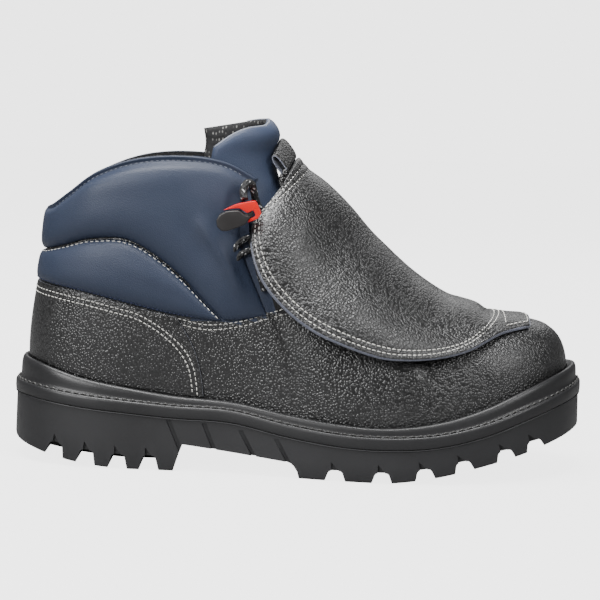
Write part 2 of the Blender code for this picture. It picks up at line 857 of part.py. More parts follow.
# Collar pads: rounded navy panels over the leather's upper edge


def pillow(share):
    """Rounded rise from an edge at 0 to the same at 1."""
    return (1.0 - abs(2.0 * share - 1.0) ** 2.6)


def pad_lift(place, across, up, bulge):
    """Thickness of a pad: flatter over the heel, round at its edges."""
    behind = pad_heel_share + (1.0 - pad_heel_share) * min(1.0, place / 4.0) ** 1.5
    return pad_edge + bulge * behind * pillow(up) ** 0.7 * pillow(across) ** 0.35


lower_rows = [0.0, 0.12, 0.32, 0.55, 0.78, 0.92, 1.0]
lower_columns = [-lower_pad_end] + signed_places(6.5) + [lower_pad_end]
pad_inner, pad_outer = [], []
for share in lower_rows:
    line_in, line_out = [], []
    for column in lower_columns:
        side, place = (-1 if column < 0 else 1), abs(column)
        low = line_height("leather_top", place) + 0.0010
        high = line_height("pad_seam", place) - pad_seam_gap / 2
        height = low + (high - low) * share
        across = 0.5 + 0.5 * column / lower_pad_end
        room = min(1.0, (high - low) / 0.016)
        lift = pad_lift(place, across, share, lower_pad_bulge * room)
        base = skin(side, place, height, skin_gap)
        share_on_rib = share_at_height(side, place, height)
        line_in.append(base)
        line_out.append(base + upper_normal(side, place, share_on_rib) * lift)
    pad_inner.append(line_in)
    pad_outer.append(line_out)
panel("collar_pad_lower", pad_inner, pad_outer, navy)

upper_rows = [0.0, 0.06, 0.18, 0.36, 0.56, 0.76, 0.90, 1.0]
pad_inner, pad_outer = [], []
for share in upper_rows:
    front = row_value(PAD_FRONT, "rib", share * 5, None, None)
    ends = [6.5 + (front - 6.5) * step for step in (0.4, 0.8, 1.0)]
    columns = [-end for end in reversed(ends)] + signed_places(6.5) + ends
    line_in, line_out = [], []
    for column in columns:
        side, place = (-1 if column < 0 else 1), abs(column)
        low = max(line_height("leather_top", place) + 0.0010,
                  line_height("pad_seam", place) + pad_seam_gap / 2)
        high = quarter_rib(side, place)[3][2] - 0.0004
        height = low + (high - low) * share
        across = 0.5 + 0.5 * column / front
        lift = pad_lift(place, across, share, upper_pad_bulge)
        base = skin(side, place, height, skin_gap)
        share_on_rib = share_at_height(side, place, height)
        line_in.append(base)
        line_out.append(base + upper_normal(side, place, share_on_rib) * lift)
    pad_inner.append(line_in)
    pad_outer.append(line_out)
panel("collar_pad_upper", pad_inner, pad_outer, navy)

# Tongue: padded channel whose wings reach back into the collar


def tongue_point(across, down, depth):
    """Point at a share across (-1 to 1) and a row down the tongue, moved inward by a depth."""
    along = shoe_length * row_value(TONGUE, "along", down, None, None)
    up = collar_height * row_value(TONGUE, "up", down, None, None)
    angle = math.radians(row_value(TONGUE, "wing_angle", down, None, None))
    half = half_width * row_value(TONGUE, "half", down, None, None)
    reach = collar_height * row_value(TONGUE, "reach", down, None, None)
    turn = across * math.pi / 2
    wing = np.array((-math.cos(angle), 0.0, -math.sin(angle)))
    middle = np.array((along, 0.0, up))
    point = middle + wing * reach * (1 - math.cos(turn)) + np.array((0.0, half * math.sin(turn), 0.0))
    tangent = wing * reach * math.sin(turn) + np.array((0.0, half * math.cos(turn), 0.0))
    tangent = tangent / np.linalg.norm(tangent)
    outward = tangent[1] * -wing + np.array((0.0, 1.0, 0.0)) * float(np.dot(tangent, wing))
    return point - outward * depth


tongue_columns = [-0.93, -0.85, -0.72, -0.55, -0.36, -0.18, 0.0, 0.18, 0.36, 0.55, 0.72, 0.87, 0.97]
tongue_levels = [0.0, 0.03, 0.10, 0.2, 0.32, 0.45, 0.58, 0.71, 0.84, 0.94, 1.0]
tongue_inner, tongue_outer = [], []
for level in tongue_levels:
    line_in, line_out = [], []
    for across in tongue_columns:
        start = max(0.0, (-across - 0.45) / 0.48) ** 1.5 * 2.0
        down = start + (8.0 - start) * level
        edge = min(level / 0.10, (1 - level) / 0.10, (across - tongue_columns[0]) / 0.14,
                   (tongue_columns[-1] - across) / 0.14, 1.0)
        thick = tongue_edge + (tongue_thickness - tongue_edge) * max(0.0, edge)
        line_out.append(tongue_point(across, down, (tongue_thickness - thick) / 2))
        line_in.append(tongue_point(across, down, (tongue_thickness + thick) / 2))
    tongue_outer.append(line_out)
    tongue_inner.append(line_in)
panel("tongue", tongue_inner, tongue_outer, navy)

# Metatarsal guard: arched flap over the instep, sewn down by its tab on the toe


def guard_point(side, place, share):
    """Outer face of the guard from its ridge (share 0) to its side edge (share 1)."""
    middle = half_width * row_value(GUARD, "mid", place, None, None)
    ridge = np.array((shoe_length * row_value(GUARD, "along", place, None, None), middle,
                      collar_height * row_value(GUARD, "up", place, None, None)))
    edge = np.array((shoe_length * row_value(GUARD, "edge_along", place, None, None),
                     middle + side * half_width * row_value(GUARD, "edge_half", place, None, None),
                     collar_height * row_value(GUARD, "edge_up", place, None, None)))
    spread = half_width * row_value(GUARD, "spread", place, None, None)
    lift = half_width * row_value(GUARD, "lift", place, None, None)
    run = edge[0] - ridge[0]
    tuck = row_value(GUARD, "tuck", place, None, None)
    sweep = row_value(GUARD, "sweep", place, None, None)
    first = ridge + np.array((run * sweep, side * spread, 0.0))
    second = edge + np.array((-run * (0.42 - sweep), -side * spread * tuck, lift))
    return bezier((ridge, first, second, edge), share)


guard_places = [0.0, 0.35] + [float(i) for i in range(1, 12)] + [11.6, 12.3, 13.0, 14.0, 14.6, 15.0]
guard_half = [0.16, 0.32, 0.48, 0.64, 0.80, 0.93, 1.0]
guard_shares = [-share for share in reversed(guard_half)] + [0.0] + guard_half
guard_outer = []
for place in guard_places:
    guard_outer.append([guard_point(-1 if share < 0 else 1, place, abs(share)) for share in guard_shares])
guard_inner = []
rows, columns = len(guard_places), len(guard_shares)
for i in range(rows):
    line = []
    for j in range(columns):
        run = guard_outer[min(i + 1, rows - 1)][j] - guard_outer[max(i - 1, 0)][j]
        side_run = guard_outer[i][min(j + 1, columns - 1)] - guard_outer[i][max(j - 1, 0)]
        normal = np.cross(run, side_run)
        normal = normal / np.linalg.norm(normal)
        border = min((1.0 - abs(guard_shares[j])) / 0.20, guard_places[i] / 1.0, 1.0)
        thinned = min(1.0, max(0.0, (guard_places[i] - guard_tab_row + 1.6) / 1.6))
        full = guard_thickness + (guard_tab - guard_thickness) * thinned
        rim = min(guard_edge, full)
        line.append(guard_outer[i][j] - normal * (rim + (full - rim) * max(0.0, border)))
    guard_inner.append(line)
panel("metatarsal_guard", guard_inner, guard_outer, leather)

# Pull loop: flattened ring of strap on the guard's rear edge


def ring_strap(name, middle, tilt, size, skew, material):
    """Flattened ring of strap from its long side, short side, wall and width."""
    long_side, short_side, wall, width = size
    outer, inner = [], []
    for k in range(20):
        turn = 2 * math.pi * k / 20
        for target, trim in ((outer, 0.0), (inner, wall)):
            x = (long_side / 2 - trim) * math.copysign(abs(math.cos(turn)) ** 0.8, math.cos(turn))
            z = (short_side / 2 - trim) * math.copysign(abs(math.sin(turn)) ** 0.8, math.sin(turn))
            target.append((middle[0] + x * math.cos(tilt) - z * math.sin(tilt),
                           middle[2] + x * math.sin(tilt) + z * math.cos(tilt)))
    points, faces = [], []
    for profile in (outer, inner):
        for end in (-0.5, 0.5):
            points += [(x + skew[0] * end, middle[1] + width * end, z + skew[1] * end) for x, z in profile]
    for k in range(20):
        n = (k + 1) % 20
        faces.append((k, n, n + 20, k + 20))
        faces.append((n + 40, k + 40, k + 60, n + 60))
        faces.append((n, k, k + 40, n + 40))
        faces.append((k + 20, n + 20, n + 60, k + 60))
    return solid(name, points, faces, material)


loop_size = (loop_long, loop_short, loop_wall, loop_width)
ring_strap("pull_loop", loop_middle, math.radians(loop_tilt), loop_size, loop_skew, leather)

# Quick-release clip on the outer side of the throat
frame_side = [(clip_ahead + row["ahead"] / 1000, clip_up + row["up"] / 1000) for row in CLIP_FRAME]
lever_side = [(clip_ahead + row["ahead"] / 1000, clip_up + row["up"] / 1000) for row in CLIP_LEVER]
lever_y = clip_y - 0.001
prism("clip_frame", frame_side, clip_y - frame_depth / 2, clip_y + frame_depth / 2, red)
prism("clip_lever", lever_side, lever_y - lever_depth / 2, lever_y + lever_depth / 2, dark)

# Cord: over the tongue, up the outer side and over into the clip


def smooth_line(rows_of_line, steps):
    line = []
    for k in range((len(rows_of_line) - 1) * steps + 1):
        place = k / steps
        along = row_value(rows_of_line, "along", place, None, None)
        across = row_value(rows_of_line, "across", place, None, None)
        up = row_value(rows_of_line, "up", place, None, None)
        line.append(np.array((shoe_length * along, half_width * across, collar_height * up)))
    return line


def tube(name, line, radius, sides, material):
    points, faces = [], []
    normal = np.array((0.0, 0.0, 1.0))
    for k, point in enumerate(line):
        run = line[min(k + 1, len(line) - 1)] - line[max(k - 1, 0)]
        run = run / np.linalg.norm(run)
        normal = normal - run * float(np.dot(normal, run))
        normal = normal / np.linalg.norm(normal)
        across = np.cross(run, normal)
        for step in range(sides):
            turn = 2 * math.pi * step / sides
            points.append(point + (normal * math.cos(turn) + across * math.sin(turn)) * radius)
    for k in range(len(line) - 1):
        for step in range(sides):
            following = (step + 1) % sides
            a, b = k * sides + step, k * sides + following
            faces.append((a, b, b + sides, a + sides))
    last = (len(line) - 1) * sides
    faces.append(tuple(reversed(range(sides))))
    faces.append(tuple(range(last, last + sides)))
    return solid(name, points, faces, material)


tube("lace", smooth_line(CORD, 3), cord_radius, 8, cord_paint)
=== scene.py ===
import functools
import math

import bmesh
import bpy
import numpy as np
from mathutils import Matrix, Vector


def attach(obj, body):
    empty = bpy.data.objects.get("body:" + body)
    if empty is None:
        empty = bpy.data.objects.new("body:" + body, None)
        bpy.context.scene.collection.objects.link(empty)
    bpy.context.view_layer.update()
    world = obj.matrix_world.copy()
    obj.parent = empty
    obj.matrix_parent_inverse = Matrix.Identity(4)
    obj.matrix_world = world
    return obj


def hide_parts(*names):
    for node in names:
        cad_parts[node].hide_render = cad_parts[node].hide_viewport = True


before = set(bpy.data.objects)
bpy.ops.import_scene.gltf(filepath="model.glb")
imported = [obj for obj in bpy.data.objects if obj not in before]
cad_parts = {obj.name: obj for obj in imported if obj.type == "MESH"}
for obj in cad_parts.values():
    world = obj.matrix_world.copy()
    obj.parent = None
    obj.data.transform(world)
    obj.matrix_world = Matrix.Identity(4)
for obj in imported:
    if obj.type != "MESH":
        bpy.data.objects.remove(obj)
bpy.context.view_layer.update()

# Camera: a long lens at the outer side, a little above the shoe

view_target = Vector((0.077, 0.0, 0.0878))
view_rise = math.radians(7.0)
view_roll = math.radians(2.0)
view_distance = 1.0
picture_side = 600
shoe_in_picture = 564
seen_length = 0.310

camera_data = bpy.data.cameras.new("camera")
camera_data.sensor_width = 36.0
camera_data.lens = camera_data.sensor_width * shoe_in_picture / picture_side / seen_length
camera_data.shift_y = 3 / picture_side
camera = bpy.data.objects.new("camera", camera_data)
bpy.context.scene.collection.objects.link(camera)
view_back = Vector((0.0, -math.cos(view_rise), math.sin(view_rise)))
level_right = (-view_back).cross(Vector((0, 0, 1))).normalized()
level_up = level_right.cross(-view_back)
view_right = level_right * math.cos(view_roll) + level_up * math.sin(view_roll)
view_up = level_up * math.cos(view_roll) - level_right * math.sin(view_roll)
camera.matrix_world = Matrix((view_right, view_up, view_back)).transposed().to_4x4()
camera.location = view_target + view_back * view_distance
bpy.context.scene.camera = camera

# Light: one large soft source above and in front, weaker ones at the sides, a pale room

white = (1.0, 1.0, 1.0, 1.0)
room_light, room_seen = 0.20, 3.3
floor_grey, floor_seen = (0.22, 0.22, 0.22), 3.2
light_target = Vector((0.07, 0.0, 0.08))

world = bpy.data.worlds.new("pale_room")
bpy.context.scene.world = world
world.use_nodes = True
room_nodes, room_links = world.node_tree.nodes, world.node_tree.links
either = room_nodes.new("ShaderNodeMixShader")
room_links.new(room_nodes.new("ShaderNodeLightPath").outputs["Is Camera Ray"], either.inputs[0])
backgrounds = (room_nodes["Background"], room_nodes.new("ShaderNodeBackground"))
for slot, (background, strength) in enumerate(zip(backgrounds, (room_light, room_seen)), 1):
    background.inputs["Color"].default_value = white
    background.inputs["Strength"].default_value = strength
    room_links.new(background.outputs[0], either.inputs[slot])
room_links.new(either.outputs[0], room_nodes["World Output"].inputs["Surface"])


def soft_light(name, place, size, power):
    data = bpy.data.lights.new(name, "AREA")
    data.shape = "RECTANGLE"
    data.size, data.size_y = size
    data.energy = power
    light = bpy.data.objects.new(name, data)
    light.location = place
    light.rotation_euler = (light_target - Vector(place)).to_track_quat("-Z", "Y").to_euler()
    bpy.context.scene.collection.objects.link(light)


soft_light("overhead", (-0.10, -0.24, 1.30), (0.95, 0.6), 33.0)
soft_light("front_left", (-0.75, -1.15, 0.75), (0.40, 0.55), 17.0)
soft_light("front_right", (1.05, -0.85, 0.85), (0.4, 0.7), 8.0)
soft_light("behind", (0.1, 1.2, 0.9), (1.6, 0.6), 7.0)

# Driving sizes of the shoe, in metres
shoe_length = 0.3115
ball_width = 0.110
sole_height = 0.050
collar_height = 0.170
heel_back = 0.078
half_width = ball_width / 2

# Walls, gaps and edges
gap = 0.0003
skin_gap = 0.00035
upper_wall = 0.0022
tray_floor = 0.0030
quarter_thickness = 0.0015
quarter_corner = 0.024
band_height = 0.0064
wall_step = 0.0008
foot_inset = 0.0102

# Tread: grooves between the lugs, recesses over them, ribs and hollow of the waist
heel_groove = dict(mouth=0.0107, roof=0.0066, depth=0.0079, spine=0.008)
ball_groove = dict(mouth=0.0110, roof=0.0070, depth=0.0058, spine=0.012)
recess_depth = 0.0022
recess_height = 0.0046
rib_groove_depth = 0.0010
rib_groove_width = 0.0026
waist_heel_end = shoe_length * 0.29213
waist_ball_start = shoe_length * 0.50241
waist_heel_height = 0.0148
waist_ball_height = 0.0087

# Collar pads
lower_pad_bulge = 0.0048
upper_pad_bulge = 0.0062
pad_edge = 0.0016
pad_heel_share = 0.25
pad_seam_gap = 0.0012
pad_sewn = 0.0004
pad_foot_gap = 0.0010
lower_pad_roll = 0.0024
upper_pad_roll = 0.0034
pad_front_roll = 0.0024
pad_front_flange = 0.0105
pad_rib_pitch = 0.0187
collar_edge_gap = 0.0004
collar_groove = 0.0024
collar_piping = 0.0006

# Tongue and guard. guard_end, seam_turn and hump_end are rows of the guard's table.
tongue_thickness = 0.0058
tongue_edge = 0.0030
guard_thickness = 0.0046
guard_edge = 0.0022
guard_tab = 0.0019
guard_end = 15.0
sewn_rows = (0.0034, 0.0064)
seam_turn = 9.0
hump_start = 0.0070
hump_run = 0.0120
hump_height = 0.0006
hump_end = 11.55
guard_rib_pitch = 0.0066

# Clip, cord and pull loop
cord_radius = 0.0020
clip_y = half_width * -0.8327
clip_ahead = shoe_length * 0.39165
clip_up = collar_height * 0.81824
frame_depth = 0.0062
lever_depth = 0.0084
loop_width = 0.018
loop_long = 0.0136
loop_short = 0.0050
loop_wall = 0.0013
loop_tilt = -52.0
loop_middle = (shoe_length * 0.461, half_width * -0.109, collar_height * 0.987)
loop_skew = (0.0039, 0.0087)


def table(columns, rows):
    """Rows of numbers as dictionaries with the named columns."""
    names = columns.split()
    return [dict(zip(names, row)) for row in rows]


# Outline of the sole from heel tip to toe tip. along is a share of shoe_length, centre and half
# shares of half_width, ground, step and rim shares of sole_height, inset a share of foot_inset.
SOLE = table(
    "along centre half ground step rim inset",
    (
        (0.000, 0.000, 0.000, 0.220, 0.722, 0.384, 1.00),
        (0.010, 0.000, 0.255, 0.192, 0.722, 0.380, 1.00),
        (0.034, -0.004, 0.451, 0.152, 0.714, 0.368, 1.00),
        (0.073, -0.009, 0.598, 0.098, 0.688, 0.340, 1.00),
        (0.130, -0.018, 0.684, 0.038, 0.650, 0.296, 1.00),
        (0.200, -0.024, 0.715, 0.000, 0.616, 0.260, 1.00),
        (0.290, -0.038, 0.711, 0.000, 0.576, 0.224, 1.00),
        (0.385, -0.067, 0.718, 0.000, 0.558, 0.206, 0.92),
        (0.480, -0.091, 0.782, 0.000, 0.448, 0.220, 0.82),
        (0.570, -0.076, 0.887, 0.000, 0.378, 0.224, 0.80),
        (0.655, -0.036, 0.967, 0.000, 0.364, 0.220, 0.80),
        (0.740, 0.009, 0.984, 0.072, 0.404, 0.246, 0.80),
        (0.820, 0.044, 0.927, 0.188, 0.520, 0.272, 0.80),
        (0.890, 0.067, 0.791, 0.300, 0.674, 0.300, 0.79),
        (0.945, 0.076, 0.589, 0.406, 0.792, 0.312, 0.78),
        (0.982, 0.084, 0.338, 0.480, 0.864, 0.312, 0.77),
        (1.000, 0.084, 0.000, 0.510, 0.896, 0.312, 0.77),
    ),
)

# Upper edge of each rib of the quarters, one row per row of the sole up to the throat.
# rise, lean and ahead shape the rib at its foot, drop, spread and back at its top.
RIBS = table(
    "along mid half up rise lean ahead drop spread back",
    (
        (0.056, 0.000, 0.000, 0.806, 0.206, 0.095, 0.000, 0.224, 0.027, 0.000),
        (0.060, 0.000, 0.136, 0.811, 0.206, 0.093, 0.000, 0.226, 0.029, 0.000),
        (0.072, 0.000, 0.264, 0.824, 0.206, 0.091, 0.000, 0.235, 0.036, 0.000),
        (0.100, 0.000, 0.382, 0.865, 0.212, 0.084, 0.000, 0.259, 0.064, 0.000),
        (0.146, 0.000, 0.482, 0.929, 0.224, 0.076, 0.000, 0.282, 0.091, 0.000),
        (0.212, 0.000, 0.527, 0.974, 0.235, 0.073, 0.000, 0.306, 0.109, 0.000),
        (0.289, 0.000, 0.536, 0.988, 0.235, 0.064, 0.000, 0.324, 0.109, 0.000),
        (0.360, 0.000, 0.518, 0.974, 0.235, 0.036, 0.060, 0.294, 0.127, -0.080),
        (0.420, 0.000, 0.464, 0.921, 0.212, 0.027, 0.218, 0.235, 0.155, -0.327),
    ),
)
quarter_row = 8
throat_share = 0.56

# Upper edge of each rib of the vamp after the quarters: facing line, throat, then ridge to the toe.
VAMP = table(
    "along mid up rise lean ahead drop spread back",
    (
        (0.490, 0.000, 0.571, 0.145, 0.030, 0.000, 0.130, 0.130, 0.000),
        (0.568, 0.009, 0.562, 0.150, 0.040, 0.000, 0.080, 0.270, 0.000),
        (0.652, 0.018, 0.547, 0.185, 0.045, 0.000, 0.006, 0.580, 0.000),
        (0.738, 0.036, 0.515, 0.210, 0.045, 0.000, 0.000, 0.640, 0.000),
        (0.815, 0.055, 0.501, 0.190, 0.045, 0.000, 0.000, 0.600, 0.000),
        (0.880, 0.069, 0.495, 0.160, 0.036, 0.000, 0.000, 0.460, 0.000),
        (0.920, 0.080, 0.484, 0.125, 0.022, 0.000, 0.000, 0.270, 0.000),
        (0.942, 0.084, 0.465, 0.100, 0.018, 0.000, 0.000, 0.125, 0.000),
    ),
)
throat_row = 11
toe_row = 16

# Height lines round the upper, one row per rib, shares of collar_height.
LINES = table(
    "leather_top pad_seam",
    (
        (0.566, 0.666),
        (0.565, 0.669),
        (0.562, 0.675),
        (0.555, 0.691),
        (0.541, 0.716),
        (0.515, 0.712),
        (0.483, 0.615),
        (0.473, 0.464),
        (0.499, 0.390),
    ),
)

# Rib number of the front edge of the rear quarter and of the upper pad, from bottom to top.
QUARTER_FRONT = table("rib", ((6.48,), (6.42,), (6.28,), (5.98,)))
PAD_FRONT = table("rib", ((7.90,), (7.82,), (7.68,), (7.62,), (7.72,), (7.96,)))
lower_pad_end = 6.82

# Grooves across the tread: middle as a share of shoe_length.
HEEL_GROOVES = (0.082, 0.138, 0.194, 0.248)
BALL_GROOVES = (0.567, 0.646, 0.720, 0.787, 0.859, 0.912)
WAIST_RIBS = table(
    "top_along top_up foot_along foot_up",
    (
        (0.2760, 0.0290, 0.3010, 0.0130),
        (0.3370, 0.0282, 0.3610, 0.0125),
        (0.4000, 0.0255, 0.4300, 0.0110),
        (0.4610, 0.0222, 0.4930, 0.0070),
    ),
)

# Tongue from its top to its foot under the vamp: front edge of the section in the middle,
# direction of the wings below level in degrees, half width and reach of the wings.
TONGUE = table(
    "along up wing_angle half reach",
    (
        (0.4400, 1.106, 6.0, 0.472, 0.218),
        (0.4530, 1.056, 8.0, 0.472, 0.232),
        (0.4455, 1.000, 12.0, 0.463, 0.222),
        (0.4540, 0.918, 24.0, 0.436, 0.190),
        (0.4820, 0.824, 36.0, 0.418, 0.160),
        (0.5260, 0.735, 44.0, 0.409, 0.130),
        (0.5720, 0.655, 46.0, 0.380, 0.110),
        (0.6180, 0.572, 48.0, 0.330, 0.090),
        (0.6580, 0.500, 42.0, 0.280, 0.070),
    ),
)

# Guard from its rear edge to the tab on the toe: ridge and side edge of its outer face.
# along is a share of shoe_length, up of collar_height, half, mid, spread and lift of half_width,
# sweep a share of the run from the ridge to the edge, tuck a share of spread.
GUARD = table(
    "along up edge_along edge_half edge_up mid spread lift tuck sweep",
    (
        (0.4870, 0.988, 0.4205, 0.655, 0.822, 0.000, 0.364, 0.118, 0.12, 0.00),
        (0.5070, 0.949, 0.4110, 0.755, 0.784, 0.000, 0.345, 0.200, 0.12, 0.02),
        (0.5390, 0.904, 0.4120, 0.891, 0.712, 0.000, 0.400, 0.260, 0.12, 0.09),
        (0.5780, 0.838, 0.4320, 0.973, 0.618, 0.000, 0.473, 0.315, 0.12, 0.15),
        (0.6160, 0.760, 0.4710, 1.018, 0.536, 0.000, 0.527, 0.327, 0.12, 0.20),
        (0.6560, 0.692, 0.5200, 1.064, 0.472, 0.000, 0.564, 0.327, 0.12, 0.22),
        (0.6920, 0.637, 0.5750, 1.073, 0.429, 0.000, 0.582, 0.291, 0.12, 0.22),
        (0.7260, 0.594, 0.6340, 1.045, 0.395, 0.009, 0.564, 0.255, 0.12, 0.22),
        (0.7580, 0.562, 0.6820, 1.000, 0.388, 0.018, 0.509, 0.200, 0.14, 0.22),
        (0.7870, 0.548, 0.7300, 0.918, 0.393, 0.027, 0.455, 0.164, 0.18, 0.22),
        (0.8090, 0.536, 0.7780, 0.818, 0.411, 0.036, 0.400, 0.132, 0.24, 0.22),
        (0.8270, 0.518, 0.8150, 0.700, 0.440, 0.045, 0.372, 0.110, 0.32, 0.22),
        (0.8460, 0.513, 0.8420, 0.573, 0.463, 0.055, 0.310, 0.080, 0.42, 0.22),
        (0.8680, 0.509, 0.8670, 0.460, 0.474, 0.060, 0.260, 0.060, 0.48, 0.22),
        (0.8890, 0.508, 0.8880, 0.393, 0.481, 0.065, 0.220, 0.045, 0.50, 0.22),
        (0.9020, 0.502, 0.9000, 0.333, 0.481, 0.069, 0.190, 0.035, 0.50, 0.22),
    ),
)
guard_tab_row = 11.0

# Clip outlines seen from the side: corners in millimetres from the middle of the clip.
CLIP_FRAME = table(
    "ahead up",
    (
        (-8.3, 1.8),
        (-2.7, 4.7),
        (2.0, 6.1),
        (7.8, 7.1),
        (9.6, 4.5),
        (11.2, 0.6),
        (9.5, -2.0),
        (4.4, -4.2),
        (4.8, -2.7),
        (7.9, -1.0),
        (8.2, 0.1),
        (7.0, 2.3),
        (3.9, 0.8),
        (0.0, 3.1),
        (-4.0, 2.8),
    ),
)
CLIP_LEVER = table(
    "ahead up",
    (
        (-11.9, -3.4),
        (-10.2, -0.3),
        (-6.1, 1.6),
        (-0.5, 2.0),
        (3.3, -0.2),
        (5.7, -1.2),
        (3.0, -5.2),
        (-0.9, -6.9),
        (-5.8, -8.8),
        (-9.0, -8.9),
        (-11.4, -6.7),
    ),
)

# Middle line of the cord from its hidden end over the tongue to the clip: along is a share of
# shoe_length, across of half_width, up of collar_height.
CORD = table(
    "along across up",
    (
        (0.49920, 0.4091, 0.69118),
        (0.52006, 0.2836, 0.72471),
        (0.53258, 0.0000, 0.74706),
        (0.52006, -0.2836, 0.72471),
        (0.49920, -0.4273, 0.70294),
        (0.47352, -0.4909, 0.72647),
        (0.44462, -0.5273, 0.77647),
        (0.42055, -0.5636, 0.83824),
        (0.41348, -0.6273, 0.87941),
        (0.40963, -0.6836, 0.90706),
        (0.40128, -0.7309, 0.91059),
        (0.39615, -0.7709, 0.88824),
        (0.39872, -0.8145, 0.86294),
    ),
)


def eased(a, b, c, d, share):
    """Smooth value between b and c with a and d beside them."""
    slope = (c - a) * share
    bend = (2 * a - 5 * b + 4 * c - d) * share ** 2
    turn = (3 * b - a - 3 * c + d) * share ** 3
    return 0.5 * (2 * b + slope + bend + turn)


def row_value(rows, column, place, start=1.0, end=1.0):
    """Smooth value of a column between rows. start and end are 1 where it mirrors, -1 where it flips."""
    last = len(rows) - 1
    place = min(max(place, 0.0), float(last))
    first = min(int(place), last - 1)

    def value(index):
        if index < 0:
            return rows[-index][column] * start if start else 2 * rows[0][column] - rows[1][column]
        if index > last:
            if end:
                return rows[2 * last - index][column] * end
            return 2 * rows[last][column] - rows[last - 1][column]
        return rows[index][column]

    return eased(*(value(first + step) for step in (-1, 0, 1, 2)), place - first)


def open_value(rows, column, place):
    """Smooth value of a column that runs on straight at both ends."""
    return row_value(rows, column, place, None, None)


def halved(low, high, rounds, short):
    """Span narrowed to the spot where a test stops being true."""
    for _ in range(rounds):
        middle = (low + high) / 2
        if short(middle):
            low = middle
        else:
            high = middle
    return low, high


def sided(column):
    """Side and place of a signed place: below 0 it lies on the outer side of the foot."""
    return (-1 if column < 0 else 1), abs(column)


def ground_height(place):
    return max(0.0, sole_height * row_value(SOLE, "ground", place))


def step_height(place):
    return sole_height * row_value(SOLE, "step", place)


def rim_height(place):
    return sole_height * row_value(SOLE, "rim", place)


def tray_height(place):
    return step_height(place) + tray_floor


def line_height(column, place):
    return collar_height * row_value(LINES, column, place, 1.0, None)


def outline_point(side, place):
    along = shoe_length * row_value(SOLE, "along", place)
    centre = half_width * row_value(SOLE, "centre", place)
    half = half_width * row_value(SOLE, "half", place, -1.0, -1.0)
    return np.array((along, centre + side * half))


def outline_normal(side, place):
    step = 0.01
    ahead = outline_point(side, min(place + step, toe_row))
    behind = outline_point(side, max(place - step, 0.0))
    run = ahead - behind
    if place < step or place > toe_row - step:
        run[0] = 0.0
    normal = side * np.array((-run[1], run[0]))
    return normal / np.linalg.norm(normal)


def outline(side, place, inset, height):
    """Point inside the rim's edge on one side: -1 is the outer side of the foot, 1 the inner."""
    flat = outline_point(side, place) - outline_normal(side, place) * inset
    return np.array((flat[0], flat[1], height))


def bezier(points, share):
    a, b, c, d = points
    rest = 1.0 - share
    return a * rest ** 3 + 3 * b * rest ** 2 * share + 3 * c * rest * share ** 2 + d * share ** 3


def handles_of(side, place, foot, top, shape, joined):
    """Four handles of a rib from its foot, its top and the shape of its ends."""
    out = np.array((*outline_normal(side, place), 0.0))
    level = np.array((0.0, 0.0, 1.0))
    ahead = np.array((1.0, 0.0, 0.0))
    lower = foot + out * half_width * shape("lean") + level * collar_height * shape("rise")
    lower = lower + ahead * half_width * shape("ahead")
    if joined:
        along_ridge = out + level * out[0] * ridge_slope(place)
        return foot, lower, top + along_ridge * half_width * shape("spread"), top
    upper = top + out * half_width * shape("spread") - level * collar_height * shape("drop")
    return foot, lower, upper + ahead * half_width * shape("back"), top


def rib_foot(side, place):
    inset = foot_inset * row_value(SOLE, "inset", place)
    return outline(side, place, inset, tray_height(place) + gap)


@functools.lru_cache(maxsize=None)
def quarter_rib(side, place):
    """Handles of a rib of the quarters, up to the collar."""
    half = half_width * row_value(RIBS, "half", place, -1.0, None)
    top = np.array((shoe_length * row_value(RIBS, "along", place, 1.0, None),
                    half_width * row_value(RIBS, "mid", place, 1.0, None) + side * half,
                    collar_height * row_value(RIBS, "up", place, 1.0, None)))

    def shape(column):
        return row_value(RIBS, column, place, 1.0, None)
    return handles_of(side, place, rib_foot(side, place), top, shape, False)


def facing_row(side):
    """First row of the vamp: the part of the quarters' front rib below the throat."""
    foot, low, high, top = quarter_rib(side, quarter_row)
    first = foot + (low - foot) * throat_share
    second = low + (high - low) * throat_share
    third = high + (top - high) * throat_share
    handle = first + (second - first) * throat_share
    end = handle + (second + (third - second) * throat_share - handle) * throat_share
    out = np.array((*outline_normal(side, quarter_row), 0.0))
    foot_run, top_run = first - foot, handle - end
    lean, spread = float(np.dot(foot_run, out)), float(np.dot(top_run, out))
    return dict(along=end[0] / shoe_length, mid=0.0,
                half=side * end[1] / half_width, up=end[2] / collar_height,
                rise=foot_run[2] / collar_height, lean=lean / half_width,
                ahead=(foot_run[0] - out[0] * lean) / half_width, drop=-top_run[2] / collar_height,
                spread=spread / half_width, back=(top_run[0] - out[0] * spread) / half_width)


def vamp_top(side, place):
    rows = VAMP_SIDES[side]
    row = place - quarter_row
    share = row / (throat_row - quarter_row)
    half = half_width * rows[0]["half"] * math.sqrt(max(0.0, 1.0 - share ** 2))
    return np.array((shoe_length * row_value(rows, "along", row, None, 1.0),
                     half_width * row_value(rows, "mid", row, None, 1.0) + side * half,
                     collar_height * row_value(rows, "up", row, None, 1.0)))


def ridge_slope(place):
    ahead = vamp_top(1, min(place + 0.05, toe_row))
    behind = vamp_top(1, max(place - 0.05, throat_row))
    return (ahead[2] - behind[2]) / (ahead[0] - behind[0])


@functools.lru_cache(maxsize=None)
def vamp_rib(side, place):
    """Handles of a rib of the vamp, up to the throat or the ridge."""
    def shape(column):
        return row_value(VAMP_SIDES[side], column, place - quarter_row, None, 1.0)
    return handles_of(side, place, rib_foot(side, place), vamp_top(side, place), shape, place >= throat_row)


def rib(side, place):
    return quarter_rib(side, place) if place <= quarter_row else vamp_rib(side, place)


def upper_point(side, place, share):
    return bezier(rib(side, place), share)


